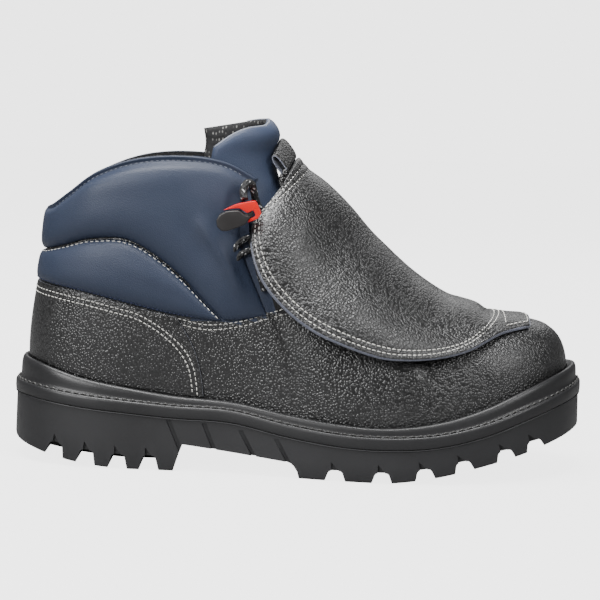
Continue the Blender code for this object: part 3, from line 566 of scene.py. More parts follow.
def upper_normal(side, place, share):
    """Outward direction of the upper's outer face."""
    step = 0.02
    if place <= quarter_row:
        low, high, shape = 0.0, float(quarter_row), quarter_rib
    else:
        low, high, shape = float(quarter_row), float(toe_row), vamp_rib
    ahead = bezier(shape(side, min(place + step, high)), share)
    behind = bezier(shape(side, max(place - step, low)), share)
    run = ahead - behind
    if place < step:
        run = np.array((0.0, side, 0.0))
    handles = shape(side, place)
    rise = bezier(handles, min(share + step, 1.0)) - bezier(handles, max(share - step, 0.0))
    normal = -side * np.cross(run, rise)
    return normal / np.linalg.norm(normal)


VAMP_SIDES = {side: [facing_row(side)] + VAMP for side in (-1, 1)}


def share_at_height(side, place, height):
    """Share of the rib at which it reaches a height."""
    heights = [float(handle[2]) for handle in rib(side, place)]
    return sum(halved(0.0, 1.0, 24, lambda share: bezier(heights, share) < height)) / 2


def over_upper(side, place, height, lift):
    """Point over the upper at a height, with the direction away from the leather."""
    share = share_at_height(side, place, height)
    normal = upper_normal(side, place, share)
    return upper_point(side, place, share) + normal * lift, normal


def skin(side, place, height, lift):
    return over_upper(side, place, height, lift)[0]


def run_length(line):
    """Length from the start of a line of points to each of its points."""
    lengths = [0.0]
    for one, two in zip(line, line[1:]):
        lengths.append(lengths[-1] + float(np.linalg.norm(two - one)))
    return lengths


def resampled(line, pitch):
    """Points and directions at an even pitch along a line."""
    lengths = run_length(line)
    count = max(1, int(lengths[-1] / pitch))
    found = []
    index = 0
    for step in range(count):
        target = (step + 0.5) * lengths[-1] / count
        while lengths[index + 1] < target:
            index += 1
        share = (target - lengths[index]) / max(1e-9, lengths[index + 1] - lengths[index])
        run = line[index + 1] - line[index]
        found.append((line[index] + run * share, run / max(1e-9, np.linalg.norm(run)), index + share))
    return found


def smoothed(line, rounds):
    """The same line with its corners softened, ends kept."""
    for _ in range(rounds):
        inner = [(one + 2 * two + three) / 4 for one, two, three in zip(line, line[1:], line[2:])]
        line = [line[0]] + inner + [line[-1]]
    return line


def spaced(low, high, step):
    count = max(1, int(round((high - low) / step)))
    return [low + (high - low) * i / count for i in range(count + 1)]


def mesh_piece(name, points, faces, materials, face_slots=None, sharp=None):
    """Piece of the shoe from points measured from the heel tip, faces turned outward."""
    mesh = bpy.data.meshes.new(name)
    mesh.from_pydata([(float(p[0]) - heel_back, float(p[1]), float(p[2])) for p in points], [], faces)
    for material in materials:
        mesh.materials.append(material)
    if face_slots is not None:
        mesh.polygons.foreach_set("material_index", face_slots)
    work = bmesh.new()
    work.from_mesh(mesh)
    bmesh.ops.recalc_face_normals(work, faces=work.faces)
    work.to_mesh(mesh)
    work.free()
    mesh.shade_smooth()
    if sharp is not None:
        mesh.set_sharp_from_angle(angle=math.radians(sharp))
    piece = bpy.data.objects.new(name, mesh)
    bpy.context.scene.collection.objects.link(piece)
    return piece


def wear(piece, slot, *nodes):
    """Puts a finished piece on the shoe, in the place of its plain solids. Its slot is not used."""
    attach(piece, "root")
    if nodes:
        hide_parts(*nodes)


def panel(name, inner, outer, materials, sharp, rim=None):
    """Closed panel between two grids, with slots 0 outer face, 1 inner face and 2 cut edge.

    The cut edge shows on the last row too below a height rim, and is turned in above it.
    """
    rows, columns = len(inner), len(inner[0])
    points = [p for line in outer for p in line] + [p for line in inner for p in line]
    shift = rows * columns
    faces, slots = [], []
    for i in range(rows - 1):
        for j in range(columns - 1):
            a = i * columns + j
            quad = (a, a + 1, a + columns + 1, a + columns)
            faces += [quad, tuple(corner + shift for corner in reversed(quad))]
            at_rim = rim and outer[i][j][2] < rim and (i in (0, rows - 2) or j in (0, columns - 2))
            slots += [2 if at_rim else 0, 1]
    border = [i for i in range(columns)]
    border += [i * columns + columns - 1 for i in range(1, rows)]
    border += [(rows - 1) * columns + i for i in range(columns - 2, -1, -1)]
    border += [i * columns for i in range(rows - 2, 0, -1)]
    for one, two in zip(border, border[1:] + border[:1]):
        faces.append((two, one, one + shift, two + shift))
        slots.append(0 if rim and points[one][2] >= rim else 2)
    return mesh_piece(name, points, faces, materials, slots, sharp)


def tube(name, line, radius, sides, material):
    """Round cord along a line, with its length and turn kept as a UV map."""
    points, faces, marks = [], [], []
    normal = np.array((0.0, 0.0, 1.0))
    lengths = run_length(line)
    for k, point in enumerate(line):
        run = line[min(k + 1, len(line) - 1)] - line[max(k - 1, 0)]
        run = run / np.linalg.norm(run)
        normal = normal - run * float(np.dot(normal, run))
        normal = normal / np.linalg.norm(normal)
        across = np.cross(run, normal)
        for step in range(sides):
            turn = 2 * math.pi * step / sides
            points.append(point + (normal * math.cos(turn) + across * math.sin(turn)) * radius)
    for k in range(len(line) - 1):
        for step in range(sides):
            following = (step + 1) % sides
            a, b = k * sides + step, k * sides + following
            faces.append((a, b, b + sides, a + sides))
            low, high = lengths[k], lengths[k + 1]
            marks.append(((low, step / sides), (low, (step + 1) / sides), (high, (step + 1) / sides),
                          (high, step / sides)))
    last = (len(line) - 1) * sides
    faces.append(tuple(reversed(range(sides))))
    faces.append(tuple(range(last, last + sides)))
    piece = mesh_piece(name, points, faces, [material])
    turns = piece.data.uv_layers.new(name="cord_turns")
    for face, corners in zip(piece.data.polygons, marks):
        by_corner = dict(zip(faces[face.index], corners))
        for loop_index in face.loop_indices:
            turns.data[loop_index].uv = by_corner[piece.data.loops[loop_index].vertex_index]
    return piece


def stitches(name, rows, pitch, length, thickness, material, sink=0.25):
    """Thread stitches along rows of (line, normals), each a short spindle half sunk in its seam."""
    points, faces = [], []
    rings = ((-1.0, 0.25), (-0.72, 0.85), (0.0, 1.0), (0.72, 0.85), (1.0, 0.25))
    sides = 6
    for line, normals in rows:
        for middle, run, place in resampled(line, pitch):
            low = min(int(place), len(normals) - 2)
            up = normals[low] * (1 - (place - low)) + normals[low + 1] * (place - low)
            up = up - run * float(np.dot(up, run))
            up = up / np.linalg.norm(up)
            across = np.cross(run, up)
            start = len(points)
            for along, width in rings:
                dip = -thickness * 0.5 * abs(along) ** 2
                centre = middle + run * along * length / 2 + up * (thickness * (0.5 - sink) + dip)
                for step in range(sides):
                    turn = 2 * math.pi * step / sides
                    offset = up * math.sin(turn) * 0.42 + across * math.cos(turn) * 0.5
                    points.append(centre + offset * thickness * width)
            for ring in range(len(rings) - 1):
                for step in range(sides):
                    a = start + ring * sides + step
                    b = start + ring * sides + (step + 1) % sides
                    faces.append((a, b, b + sides, a + sides))
            faces.append(tuple(start + step for step in reversed(range(sides))))
            end = start + (len(rings) - 1) * sides
            faces.append(tuple(end + step for step in range(sides)))
    return mesh_piece(name, points, faces, [material])


def segment_distance(x, z, one, two):
    """Distance in side view from a point to a segment."""
    run_x, run_z = two[0] - one[0], two[1] - one[1]
    share = ((x - one[0]) * run_x + (z - one[1]) * run_z) / (run_x ** 2 + run_z ** 2)
    share = min(1.0, max(0.0, share))
    return math.hypot(x - one[0] - run_x * share, z - one[1] - run_z * share), share


def folds_at(point, folds):
    """Height of the listed creases at a point: troughs are negative, ridges positive."""
    total = 0.0
    for fold in folds:
        if fold["side"] * point[1] < 0.0:
            continue
        start = (fold["x1"] / 1000, fold["z1"] / 1000)
        end = (fold["x2"] / 1000, fold["z2"] / 1000)
        away, share = segment_distance(point[0], point[2], start, end)
        reach = fold["width"] / 1000
        if away < 3 * reach:
            fade = 0.35 + 0.65 * math.sin(math.pi * min(1.0, max(0.0, 0.12 + 0.76 * share)))
            total += fold["height"] / 1000 * fade * math.exp(-(away / reach) ** 2)
    return total


# Shader nodes, and the groups shared by several finishes

class Network:
    """Node tree of a group or a material, with shortcuts for the nodes that the finishes use."""

    def __init__(self, tree):
        self.nodes, self.links = tree.nodes, tree.links

    def feed(self, socket, value):
        """Gives a socket a number or another socket's value."""
        if isinstance(value, float):
            socket.default_value = value
        else:
            self.links.new(value, socket)

    def where(self):
        return self.nodes.new("ShaderNodeTexCoord").outputs["Object"]

    def math(self, operation, one, two=0.0):
        node = self.nodes.new("ShaderNodeMath")
        node.operation = operation
        self.feed(node.inputs[0], one)
        self.feed(node.inputs[1], two)
        return node.outputs[0]

    def noise(self, scale, detail, roughness=0.5):
        node = self.nodes.new("ShaderNodeTexNoise")
        node.inputs["Detail"].default_value = detail
        node.inputs["Roughness"].default_value = roughness
        self.links.new(self.where(), node.inputs["Vector"])
        self.feed(node.inputs["Scale"], scale)
        return node.outputs["Fac"]

    def cells(self, vector, scale, randomness=1.0):
        """Distance to the nearest point of a cell pattern."""
        node = self.nodes.new("ShaderNodeTexVoronoi")
        node.inputs["Randomness"].default_value = randomness
        self.links.new(vector, node.inputs["Vector"])
        self.feed(node.inputs["Scale"], scale)
        return node.outputs["Distance"]

    def ramp(self, value, low, high, out_low=0.0, out_high=1.0):
        node = self.nodes.new("ShaderNodeMapRange")
        node.interpolation_type = "SMOOTHSTEP"
        ends = (("From Min", low), ("From Max", high), ("To Min", out_low), ("To Max", out_high))
        for socket, number in ends:
            node.inputs[socket].default_value = number
        self.links.new(value, node.inputs["Value"])
        return node.outputs["Result"]


def shader_group(name, size, outputs):
    """Group with a Size and the named outputs, which go out through the sockets returned."""
    tree = bpy.data.node_groups.new(name, "ShaderNodeTree")
    made = tree.interface.new_socket(name="Size", in_out="INPUT", socket_type="NodeSocketFloat")
    made.default_value = size
    for socket in outputs:
        tree.interface.new_socket(name=socket, in_out="OUTPUT", socket_type="NodeSocketFloat")
    given = tree.nodes.new("NodeGroupInput").outputs["Size"]
    return tree, Network(tree), given, tree.nodes.new("NodeGroupOutput").inputs


def pebble_group():
    """Pebbled hide: rounded cells between soft furrows, with a mask that finishes use to paint shade into the
    furrows. Size is the number of cells per metre.
    """
    tree, net, size, result = shader_group("pebbled_hide", 620.0, ["Height", "FurrowShade"])
    where = net.where()
    warp = net.nodes.new("ShaderNodeTexNoise")
    warp.inputs["Scale"].default_value = 240.0
    net.links.new(where, warp.inputs["Vector"])
    bent = net.nodes.new("ShaderNodeVectorMath")
    bent.operation = "MULTIPLY_ADD"
    bent.inputs[1].default_value = (0.0006, 0.0006, 0.0006)
    net.links.new(warp.outputs["Color"], bent.inputs[0])
    net.links.new(where, bent.inputs[2])
    pebbles = net.cells(bent.outputs[0], size)
    fine = net.math("MULTIPLY", net.noise(net.math("MULTIPLY", size, 2.4), 2.0), 0.16)
    height = net.math("ADD", net.ramp(pebbles, 0.0, 0.85, 1.0, 0.0), fine)
    net.links.new(height, result["Height"])
    net.links.new(net.ramp(pebbles, 0.35, 0.75), result["FurrowShade"])
    return tree


def wear_group():
    """Uneven rub, dust and faint scuffs. Size is the number of patches per metre."""
    tree, net, size, result = shader_group("uneven_wear", 30.0, ["Patches", "Dust", "Fine"])
    net.links.new(net.ramp(net.noise(size, 4.0, 0.6), 0.35, 0.68), result["Patches"])
    specks = net.noise(net.math("MULTIPLY", size, 28.0), 3.0, 0.7)
    net.links.new(net.ramp(specks, 0.62, 0.80), result["Dust"])
    net.links.new(net.noise(2600.0, 2.0), result["Fine"])
    return tree


pebbled_hide = pebble_group()
uneven_wear = wear_group()


def tinted(colour, factor):
    return tuple(part * factor for part in colour)


class Finish(Network):
    """Material with its shader and shortcuts for the shared groups."""

    def __init__(self, name, roughness):
        self.material = bpy.data.materials.new(name)
        self.material.use_nodes = True
        super().__init__(self.material.node_tree)
        self.shader = self.nodes["Principled BSDF"]
        self.set("Roughness", roughness)

    def set(self, socket, value):
        """Constant on the shader's own socket."""
        self.shader.inputs[socket].default_value = value

    def group(self, tree, size):
        node = self.nodes.new("ShaderNodeGroup")
        node.node_tree = tree
        node.inputs["Size"].default_value = size
        return node.outputs

    def mixed(self, mask, one, two):
        """Colour between two by a mask; the first may be a socket."""
        node = self.nodes.new("ShaderNodeMix")
        node.data_type = "RGBA"
        if isinstance(one, tuple):
            node.inputs["A"].default_value = (*one, 1.0)
        else:
            self.links.new(one, node.inputs["A"])
        node.inputs["B"].default_value = (*two, 1.0)
        self.links.new(mask, node.inputs["Factor"])
        return node.outputs["Result"]

    def colour(self, value):
        self.links.new(value, self.shader.inputs["Base Color"])

    def roughness(self, mask, low, high):
        self.links.new(self.ramp(mask, 0.0, 1.0, low, high), self.shader.inputs["Roughness"])

    def bump(self, height, distance, strength=1.0):
        node = self.nodes.new("ShaderNodeBump")
        node.inputs["Distance"].default_value = distance
        node.inputs["Strength"].default_value = strength
        self.links.new(height, node.inputs["Height"])
        self.links.new(node.outputs["Normal"], self.shader.inputs["Normal"])


def leather_finish():
    finish = Finish("grained_leather", 0.4)
    hide = finish.group(pebbled_hide, 800.0)
    wear_marks = finish.group(uneven_wear, 24.0)
    base = finish.mixed(wear_marks["Patches"], (0.0155, 0.0155, 0.0159), (0.0210, 0.0210, 0.0214))
    # Furrows between the pebbles painted near black: painted shade in the grain's crevices.
    base = finish.mixed(hide["FurrowShade"], base, (0.0055, 0.0055, 0.0057))
    finish.colour(finish.mixed(wear_marks["Dust"], base, (0.030, 0.030, 0.031)))
    finish.roughness(wear_marks["Patches"], 0.30, 0.38)
    finish.bump(hide["Height"], 0.00028)
    finish.set("Specular IOR Level", 0.75)
    finish.set("Coat Weight", 0.15)
    finish.set("Coat Roughness", 0.24)
    return finish.material


def navy_finish(name, lift):
    """Smooth navy hide, its colour lifted by a factor; above 1 it is a lighter copy that paints light on a
    piece.
    """
    finish = Finish(name, 0.5)
    hide = finish.group(pebbled_hide, 1500.0)
    wear_marks = finish.group(uneven_wear, 18.0)
    deep, worn, dusty = (tinted(colour, lift) for colour in
                         ((0.026, 0.036, 0.064), (0.031, 0.041, 0.070), (0.039, 0.049, 0.078)))
    base = finish.mixed(wear_marks["Patches"], deep, worn)
    finish.colour(finish.mixed(wear_marks["Dust"], base, dusty))
    finish.roughness(wear_marks["Patches"], 0.47, 0.55)
    finish.set("Specular IOR Level", 0.38)
    finish.bump(hide["Height"], 0.00006)
    return finish.material


def rubber_finish(name, colour, low, high):
    finish = Finish(name, low)
    wear_marks = finish.group(uneven_wear, 20.0)
    base = finish.mixed(wear_marks["Patches"], colour, tinted(colour, 1.15))
    finish.colour(finish.mixed(wear_marks["Dust"], base, tinted(colour, 1.45)))
    finish.roughness(wear_marks["Patches"], low, high)
    finish.bump(wear_marks["Fine"], 0.00005)
    return finish.material


def cloth_finish(name, dark, light, size, distance):
    """Knitted or felted cloth: short crossing ribs with fluff between them."""
    finish = Finish(name, 0.9)
    wear_marks = finish.group(uneven_wear, 60.0)
    ribs = finish.cells(finish.where(), size)
    base = finish.mixed(finish.ramp(ribs, 0.1, 0.7), light, dark)
    finish.colour(finish.mixed(wear_marks["Dust"], base, tinted(light, 1.6)))
    finish.bump(ribs, distance, 0.8)
    finish.set("Sheen Weight", 0.15)
    return finish.material


def mesh_finish():
    """Open knit with pale holes in columns."""
    finish = Finish("tongue_mesh", 0.85)
    wear_marks = finish.group(uneven_wear, 60.0)
    stretch = finish.nodes.new("ShaderNodeMapping")
    stretch.inputs["Scale"].default_value = (1.0, 1.0, 0.55)
    finish.links.new(finish.where(), stretch.inputs["Vector"])
    holes = finish.cells(stretch.outputs[0], 520.0, 0.35)
    base = finish.mixed(wear_marks["Fine"], (0.010, 0.010, 0.011), (0.022, 0.022, 0.023))
    finish.colour(finish.mixed(finish.ramp(holes, 0.12, 0.34, 1.0, 0.0), base, (0.24, 0.24, 0.23)))
    finish.bump(holes, 0.0004, 0.9)
    return finish.material


def braid_finish():
    """Braid of dark strands crossing both ways with pale flecks, laid out by length and turn."""
    finish = Finish("cord_braid", 0.7)
    turns = finish.nodes.new("ShaderNodeUVMap")
    turns.uv_map = "cord_turns"
    split = finish.nodes.new("ShaderNodeSeparateXYZ")
    finish.links.new(turns.outputs[0], split.inputs[0])
    along = finish.math("MULTIPLY", split.outputs[0], 260.0)
    around = finish.math("MULTIPLY", split.outputs[1], 5.0)
    strands = []
    for crossing in ("ADD", "SUBTRACT"):
        strand = finish.math("FRACT", finish.math(crossing, along, around))
        strands.append(finish.ramp(finish.math("PINGPONG", strand, 0.5), 0.0, 0.5))
    flecks = finish.math("MULTIPLY", strands[0], finish.ramp(finish.noise(420.0, 1.0), 0.50, 0.62))
    finish.colour(finish.mixed(finish.ramp(flecks, 0.55, 0.75), (0.016, 0.016, 0.017), (0.50, 0.50, 0.50)))
    finish.bump(finish.math("MAXIMUM", *strands), 0.0004)
    return finish.material


def plastic_finish(name, colour, roughness):
    finish = Finish(name, roughness)
    wear_marks = finish.group(uneven_wear, 90.0)
    dusty = tuple(min(1.0, part * 1.25 + 0.01) for part in colour)
    finish.colour(finish.mixed(wear_marks["Dust"], colour, dusty))
    finish.roughness(wear_marks["Patches"], roughness, roughness + 0.12)
    finish.bump(wear_marks["Fine"], 0.00002)
    return finish.material


def thread_finish(name, colour):
    finish = Finish(name, 0.65)
    wear_marks = finish.group(uneven_wear, 120.0)
    finish.colour(finish.mixed(wear_marks["Patches"], colour, tinted(colour, 0.78)))
    finish.bump(wear_marks["Fine"], 0.0001)
    return finish.material


grained_leather = leather_finish()
navy_leather = navy_finish("navy_leather", 1.0)
# The tongue wears the navy hide lifted 1.5 times: painted light on the tongue, the same leather as the pads.
tongue_painted_light_leather = navy_finish("tongue_painted_light_leather", 1.5)
tread_rubber = rubber_finish("tread_rubber", (0.017, 0.017, 0.0185), 0.46, 0.58)
rim_rubber = rubber_finish("rim_rubber", (0.015, 0.015, 0.016), 0.34, 0.44)
lining_cloth = cloth_finish("lining_cloth", (0.006, 0.006, 0.0065), (0.018, 0.018, 0.019), 900.0, 0.0003)
suede_back = cloth_finish("suede_back", (0.030, 0.033, 0.045), (0.055, 0.060, 0.080), 2200.0, 0.0002)
cut_edge = cloth_finish("cut_edge", (0.12, 0.13, 0.17), (0.22, 0.23, 0.28), 1800.0, 0.0003)
footbed_felt = cloth_finish("footbed_felt", (0.020, 0.020, 0.021), (0.045, 0.045, 0.046), 1500.0, 0.0003)
tongue_mesh = mesh_finish()
cord_braid = braid_finish()
red_plastic = plastic_finish("red_plastic", (0.72, 0.008, 0.004), 0.26)
dark_plastic = plastic_finish("dark_plastic", (0.020, 0.018, 0.018), 0.36)
# Rubber three times lighter than the rim's for the ledge's moulded stitch marks: painted glints; its patches
# and specks are wear and dust.
painted_glint_rubber = rubber_finish("painted_glint_rubber", (0.045, 0.044, 0.043), 0.40, 0.50)
pale_piping = thread_finish("pale_piping", (0.22, 0.24, 0.29))
thread = thread_finish("thread", (0.80, 0.79, 0.74))
navy_thread = thread_finish("navy_thread", (0.020, 0.026, 0.075))
pale_floor = Finish("floor_paint", 0.8)
pale_floor.set("Base Color", (*floor_grey, 1.0))
pale_floor.set("Emission Color", white)
seen = pale_floor.nodes.new("ShaderNodeLightPath").outputs["Is Camera Ray"]
glow = pale_floor.ramp(seen, 0.0, 1.0, 0.0, floor_seen)
pale_floor.links.new(glow, pale_floor.shader.inputs["Emission Strength"])

# Sole: rim with its band, stitched ledge and shiny bead, and the lugged tread

# Section of the rim above the step: inset from the rim's edge is a share of foot_inset,
# band and bead are shares of band_height and of the height of the bead above it.
RIM_SECTION = table(
    "inset band bead",
    (
        (0.060, 0.00, 0.00),
        (0.015, 0.02, 0.00),
        (0.000, 0.09, 0.00),
        (-0.010, 0.40, 0.00),
        (0.000, 0.76, 0.00),
        (0.020, 0.90, 0.00),
        (0.060, 0.98, 0.00),
        (0.110, 1.01, 0.00),
        (0.170, 1.00, 0.02),
        (0.225, 1.00, 0.05),
        (0.262, 1.00, 0.10),
        (0.285, 1.00, 0.24),
        (0.292, 1.00, 0.42),
        (0.305, 1.00, 0.60),
        (0.335, 1.00, 0.78),
        (0.385, 1.00, 0.91),
        (0.450, 1.00, 0.98),
        (0.530, 1.00, 1.00),
        (0.610, 1.00, 0.98),
        (0.665, 1.00, 0.90),
    ),
)


def joined_loop(places):
    ring = [(-1, place) for place in places]
    return ring + [(1, place) for place in reversed(places[1:-1])]


def sole_body(name, rings, places, across, materials, sharp):
    """Solid from stacked rings round the sole, closed across at the first and the last ring."""
    ring = joined_loop(places)
    count = len(ring)
    points = []
    for profile in rings:
        points += [profile(side, place) for side, place in ring]
    faces = []
    for level in range(len(rings) - 1):
        for i in range(count):
            j = (i + 1) % count
            a, b = level * count + i, level * count + j
            faces.append((a, b, b + count, a + count))
    for start in (0, (len(rings) - 1) * count):
        lines = []
        for i in range(len(places)):
            outer, inner = start + i, start + (count - i) % count
            line = [outer]
            if i not in (0, len(places) - 1):
                for step in range(1, across):
                    points.append(points[outer] + (points[inner] - points[outer]) * step / across)
                    line.append(len(points) - 1)
                line.append(inner)
            else:
                line = [outer] * (across + 1)
            lines.append(line)
        for one, two in zip(lines, lines[1:]):
            for j in range(across):
                quad = [one[j], one[j + 1], two[j + 1], two[j]]
                faces.append(tuple(corner for k, corner in enumerate(quad) if corner != quad[k - 1]))
    return mesh_piece(name, points, faces, materials, None, sharp)


def ledge_width(place):
    return foot_inset * min(1.0, row_value(SOLE, "inset", place) + 0.08)


def rim_ring(row):
    def profile(side, place):
        bead = (rim_height(place) - band_height) * row["bead"]
        height = step_height(place) + band_height * row["band"] + bead
        return outline(side, place, ledge_width(place) * row["inset"], height)
    return profile


def rim_inner(share):
    def profile(side, place):
        height = step_height(place) + rim_height(place) * share
        return skin(side, place, max(tray_height(place) + 0.001, height), skin_gap)
    return profile


def tray_edge(side, place):
    return outline(side, place, foot_inset * row_value(SOLE, "inset", place) - skin_gap, tray_height(place))


fine_places = spaced(0.0, float(toe_row), 0.125)


def make_rim():
    rings = [rim_ring(row) for row in RIM_SECTION] + [rim_inner(0.88), rim_inner(0.55), tray_edge]
    piece = sole_body("moulded_rim", rings, fine_places, 4, [rim_rubber], 60)
    wear(piece, "rim_rubber", "midsole")


def place_at(along):
    return sum(halved(0.0, float(toe_row), 24, lambda place: outline_point(1, place)[0] < along)) / 2


def ground_at(along):
    return ground_height(place_at(along))


def on_tread(middle, corners):
    slope = math.atan2(ground_at(middle + 0.004) - ground_at(middle - 0.004), 0.008)
    level = ground_at(middle)
    turned = []
    for x, z in corners:
        ahead = middle + x * math.cos(slope) - z * math.sin(slope)
        turned.append((ahead, level + x * math.sin(slope) + z * math.cos(slope)))
    return turned


def groove_corners(middle, mouth, roof, depth, **others):
    """Side view of a groove between two lugs, with rounded corners in its roof."""
    flare = (mouth - roof) / 2 / depth * 0.004
    half_mouth, half_roof, round_off = mouth / 2 + flare, roof / 2, 0.0011
    corners = [(-half_mouth, -0.004), (half_mouth, -0.004), (half_roof + 0.0003, depth - round_off)]
    corners += [(half_roof - 0.3 * round_off, depth - 0.3 * round_off), (half_roof - round_off, depth)]
    corners += [(round_off - half_roof, depth), (0.3 * round_off - half_roof, depth - 0.3 * round_off)]
    corners.append((-half_roof - 0.0003, depth - round_off))
    return on_tread(middle, corners)


def recess_corners(middle, roof, depth):
    behind, ahead = 0.0012 - roof / 2, 0.36 * roof
    foot = depth - 0.0008
    return on_tread(middle, ((behind, foot), (ahead, foot), (behind, depth + recess_height)))


def side_reach(side, along, depth):
    return outline(side, place_at(along), wall_step, 0.0)[1] - side * depth


def side_blocks(name, blocks, materials):
    """Piece of blocks, each a side-view outline between two depths."""
    points, faces = [], []
    for corners, low, high in blocks:
        shift, count = len(points), len(corners)
        points += [(x, low, z) for x, z in corners] + [(x, high, z) for x, z in corners]
        faces.append(tuple(range(shift, shift + count)))
        faces.append(tuple(range(shift + 2 * count - 1, shift + count - 1, -1)))
        for k in range(count):
            one, two = shift + k, shift + (k + 1) % count
            faces.append((two, one, one + count, two + count))
    return mesh_piece(name, points, faces, materials)


def cut_out(target, name, blocks):
    cutter = side_blocks(name, blocks, [])
    modifier = target.modifiers.new(name, "BOOLEAN")
    modifier.operation = "DIFFERENCE"
    modifier.solver = "EXACT"
    modifier.object = cutter
    settle(target)
    bpy.data.objects.remove(cutter, do_unlink=True)


def settle(piece):
    """Turns a piece's modifiers into its own mesh."""
    bpy.context.view_layer.update()
    graph = bpy.context.evaluated_depsgraph_get()
    made = bpy.data.meshes.new_from_object(piece.evaluated_get(graph), depsgraph=graph)
    piece.modifiers.clear()
    piece.data = made


def halfway_height(place):
    return 0.5 * (ground_height(place) + step_height(place))


def tread_ring(inset, base, lift):
    """Ring round the tread's wall, lifted over the height that base gives."""
    return lambda side, place: outline(side, place, inset, base(place) + lift)


def make_tread():
    rings = [
        tread_ring(wall_step + 0.0016, ground_height, 0.0),
        tread_ring(wall_step * 0.7, ground_height, 0.0009),
        tread_ring(wall_step * 0.45, ground_height, 0.0020),
        tread_ring(wall_step * 0.7, halfway_height, 0.0),
        tread_ring(wall_step, step_height, -0.0011),
        tread_ring(wall_step * 0.1, step_height, -0.0007),
        tread_ring(wall_step * 0.3, step_height, -gap),
    ]
    piece = sole_body("lugged_tread", rings, fine_places, 6, [tread_rubber], 30)
    cuts = [(share * shoe_length, heel_groove) for share in HEEL_GROOVES]
    cuts += [(share * shoe_length, ball_groove) for share in BALL_GROOVES]
    side_end = 0.075
    grooves, recesses = [], []
    for middle, size in cuts:
        for side in (-1, 1):
            grooves.append((groove_corners(middle, **size), side * size["spine"], side * side_end))
            wall = side_reach(side, middle, recess_depth * 0.6)
            recesses.append((recess_corners(middle, size["roof"], size["depth"]), wall, side * side_end))
    waist = ((waist_heel_end - 0.003, -0.01), (waist_ball_start + 0.004, -0.01), (waist_ball_start, 0.004),
             (waist_ball_start - 0.0022, 0.0072), (waist_ball_start - 0.006, waist_ball_height),
             (waist_heel_end + 0.004, waist_heel_height), (waist_heel_end, 0.004))
    grooves.append((waist, -side_end, side_end))
    for row in WAIST_RIBS:
        top, foot = row["top_along"] * shoe_length, row["foot_along"] * shoe_length
        foot_up, top_up = row["foot_up"] - 0.004, row["top_up"] - 0.0016
        corners = ((foot, foot_up), (foot + rib_groove_width, foot_up),
                   (top + rib_groove_width, top_up), (top, top_up))
        for side in (-1, 1):
            wall = side_reach(side, (top + foot) / 2, rib_groove_depth)
            recesses.append((corners, wall, side * side_end))
    cut_out(piece, "between_lugs", grooves)
    cut_out(piece, "wall_marks", recesses)
    piece.data.set_sharp_from_angle(angle=math.radians(28))
    wear(piece, "tread_rubber", "outsole")


# Upper: grained leather wall with its creases, dark lining inside

# Creases: side of the foot, both ends ahead of the heel tip and above the floor, half
# width and height, all in millimetres. Troughs are below 0 and ridges above it.
UPPER_FOLDS = table(
    "side x1 z1 x2 z2 width height",
    (
        (-1, 226, 70, 244, 48, 2.6, -0.55),
        (-1, 233, 72, 252, 50, 2.4, 0.45),
        (-1, 238, 70, 259, 47, 2.2, -0.50),
        (-1, 219, 66, 232, 44, 2.8, 0.35),
        (-1, 212, 62, 222, 40, 3.0, -0.35),
        (-1, 246, 72, 266, 52, 2.4, 0.30),
        (-1, 150, 72, 160, 48, 4.0, -0.30),
        (1, 214, 66, 226, 44, 3.0, -0.45),
        (1, 222, 70, 238, 46, 2.6, 0.40),
        (1, 230, 72, 249, 48, 2.4, -0.45),
    ),
)


def upper_rows():
    low = spaced(0.0, 1.0, 0.05)
    high = spaced(throat_share, 1.0, 0.0275)[1:]
    return low, [throat_share * share for share in low] + high


def upper_slot(place, level, height):
    """Slot of the outer face: 0 leather, 3 the navy flange ahead of the pads, 4 the dark gusset."""
    if place < 6.2 or height <= line_height("leather_top", min(place, float(quarter_row))) - 0.001:
        return 0
    if place < 8.6:
        return 3 if place < 8.2 else 4
    return 4 if place < throat_row and level > 12 else 0


def make_upper():
    """Hollow leather wall, with the navy flange and the dark gusset ahead of the collar pads."""
    low_shares, quarter_shares = upper_rows()
    index, outer_points, sheet, zones = {}, [], [], []

    def corner(side, place, level, share):
        top = len(low_shares) - 1
        both = place == 0.0 or place == toe_row or (place >= throat_row and level == top)
        key = (0 if both else side, place, level)
        if key not in index:
            index[key] = len(outer_points)
            point = upper_point(side, place, share)
            lift = folds_at(point, UPPER_FOLDS)
            if lift:
                point = point + upper_normal(side, place, share) * lift
            outer_points.append(point)
        return index[key]

    for side in (-1, 1):
        for behind, ahead in zip(fine_places, fine_places[1:]):
            shares = quarter_shares if ahead <= quarter_row else low_shares
            for level in range(len(shares) - 1):
                quad = []
                for place, step in ((behind, 0), (ahead, 0), (ahead, 1), (behind, 1)):
                    row = quarter_shares if place <= quarter_row else low_shares
                    quad.append(corner(side, place, level + step, row[level + step]))
                face = [number for k, number in enumerate(quad) if number != quad[k - 1]]
                sheet.append(tuple(face) if side < 0 else tuple(reversed(face)))
                zones.append(upper_slot(behind, level, outer_points[quad[0]][2]))
    normals = np.zeros((len(outer_points), 3))
    for face in sheet:
        corners = [outer_points[number] for number in face]
        area = np.cross(corners[2] - corners[0], corners[-1] - corners[1])
        for number in face:
            normals[number] += area
    normals /= np.linalg.norm(normals, axis=1)[:, None]
    inner_points = [point - normal * upper_wall for point, normal in zip(outer_points, normals)]
    shift = len(outer_points)
    edges = set()
    for face in sheet:
        edges.update(zip(face, face[1:] + face[:1]))
    faces = list(sheet) + [tuple(reversed([number + shift for number in face])) for face in sheet]
    slots = zones + [1] * len(sheet)
    for one, two in edges:
        if (two, one) not in edges:
            faces.append((two, one, one + shift, two + shift))
            slots.append(2)
    piece = mesh_piece("leather_upper", outer_points + inner_points, faces,
                       [grained_leather, lining_cloth, cut_edge, navy_leather, lining_cloth], slots, 45)
    wear(piece, "grained_leather", "upper")


# Rear quarter: leather panel round the heel with a raw cut edge

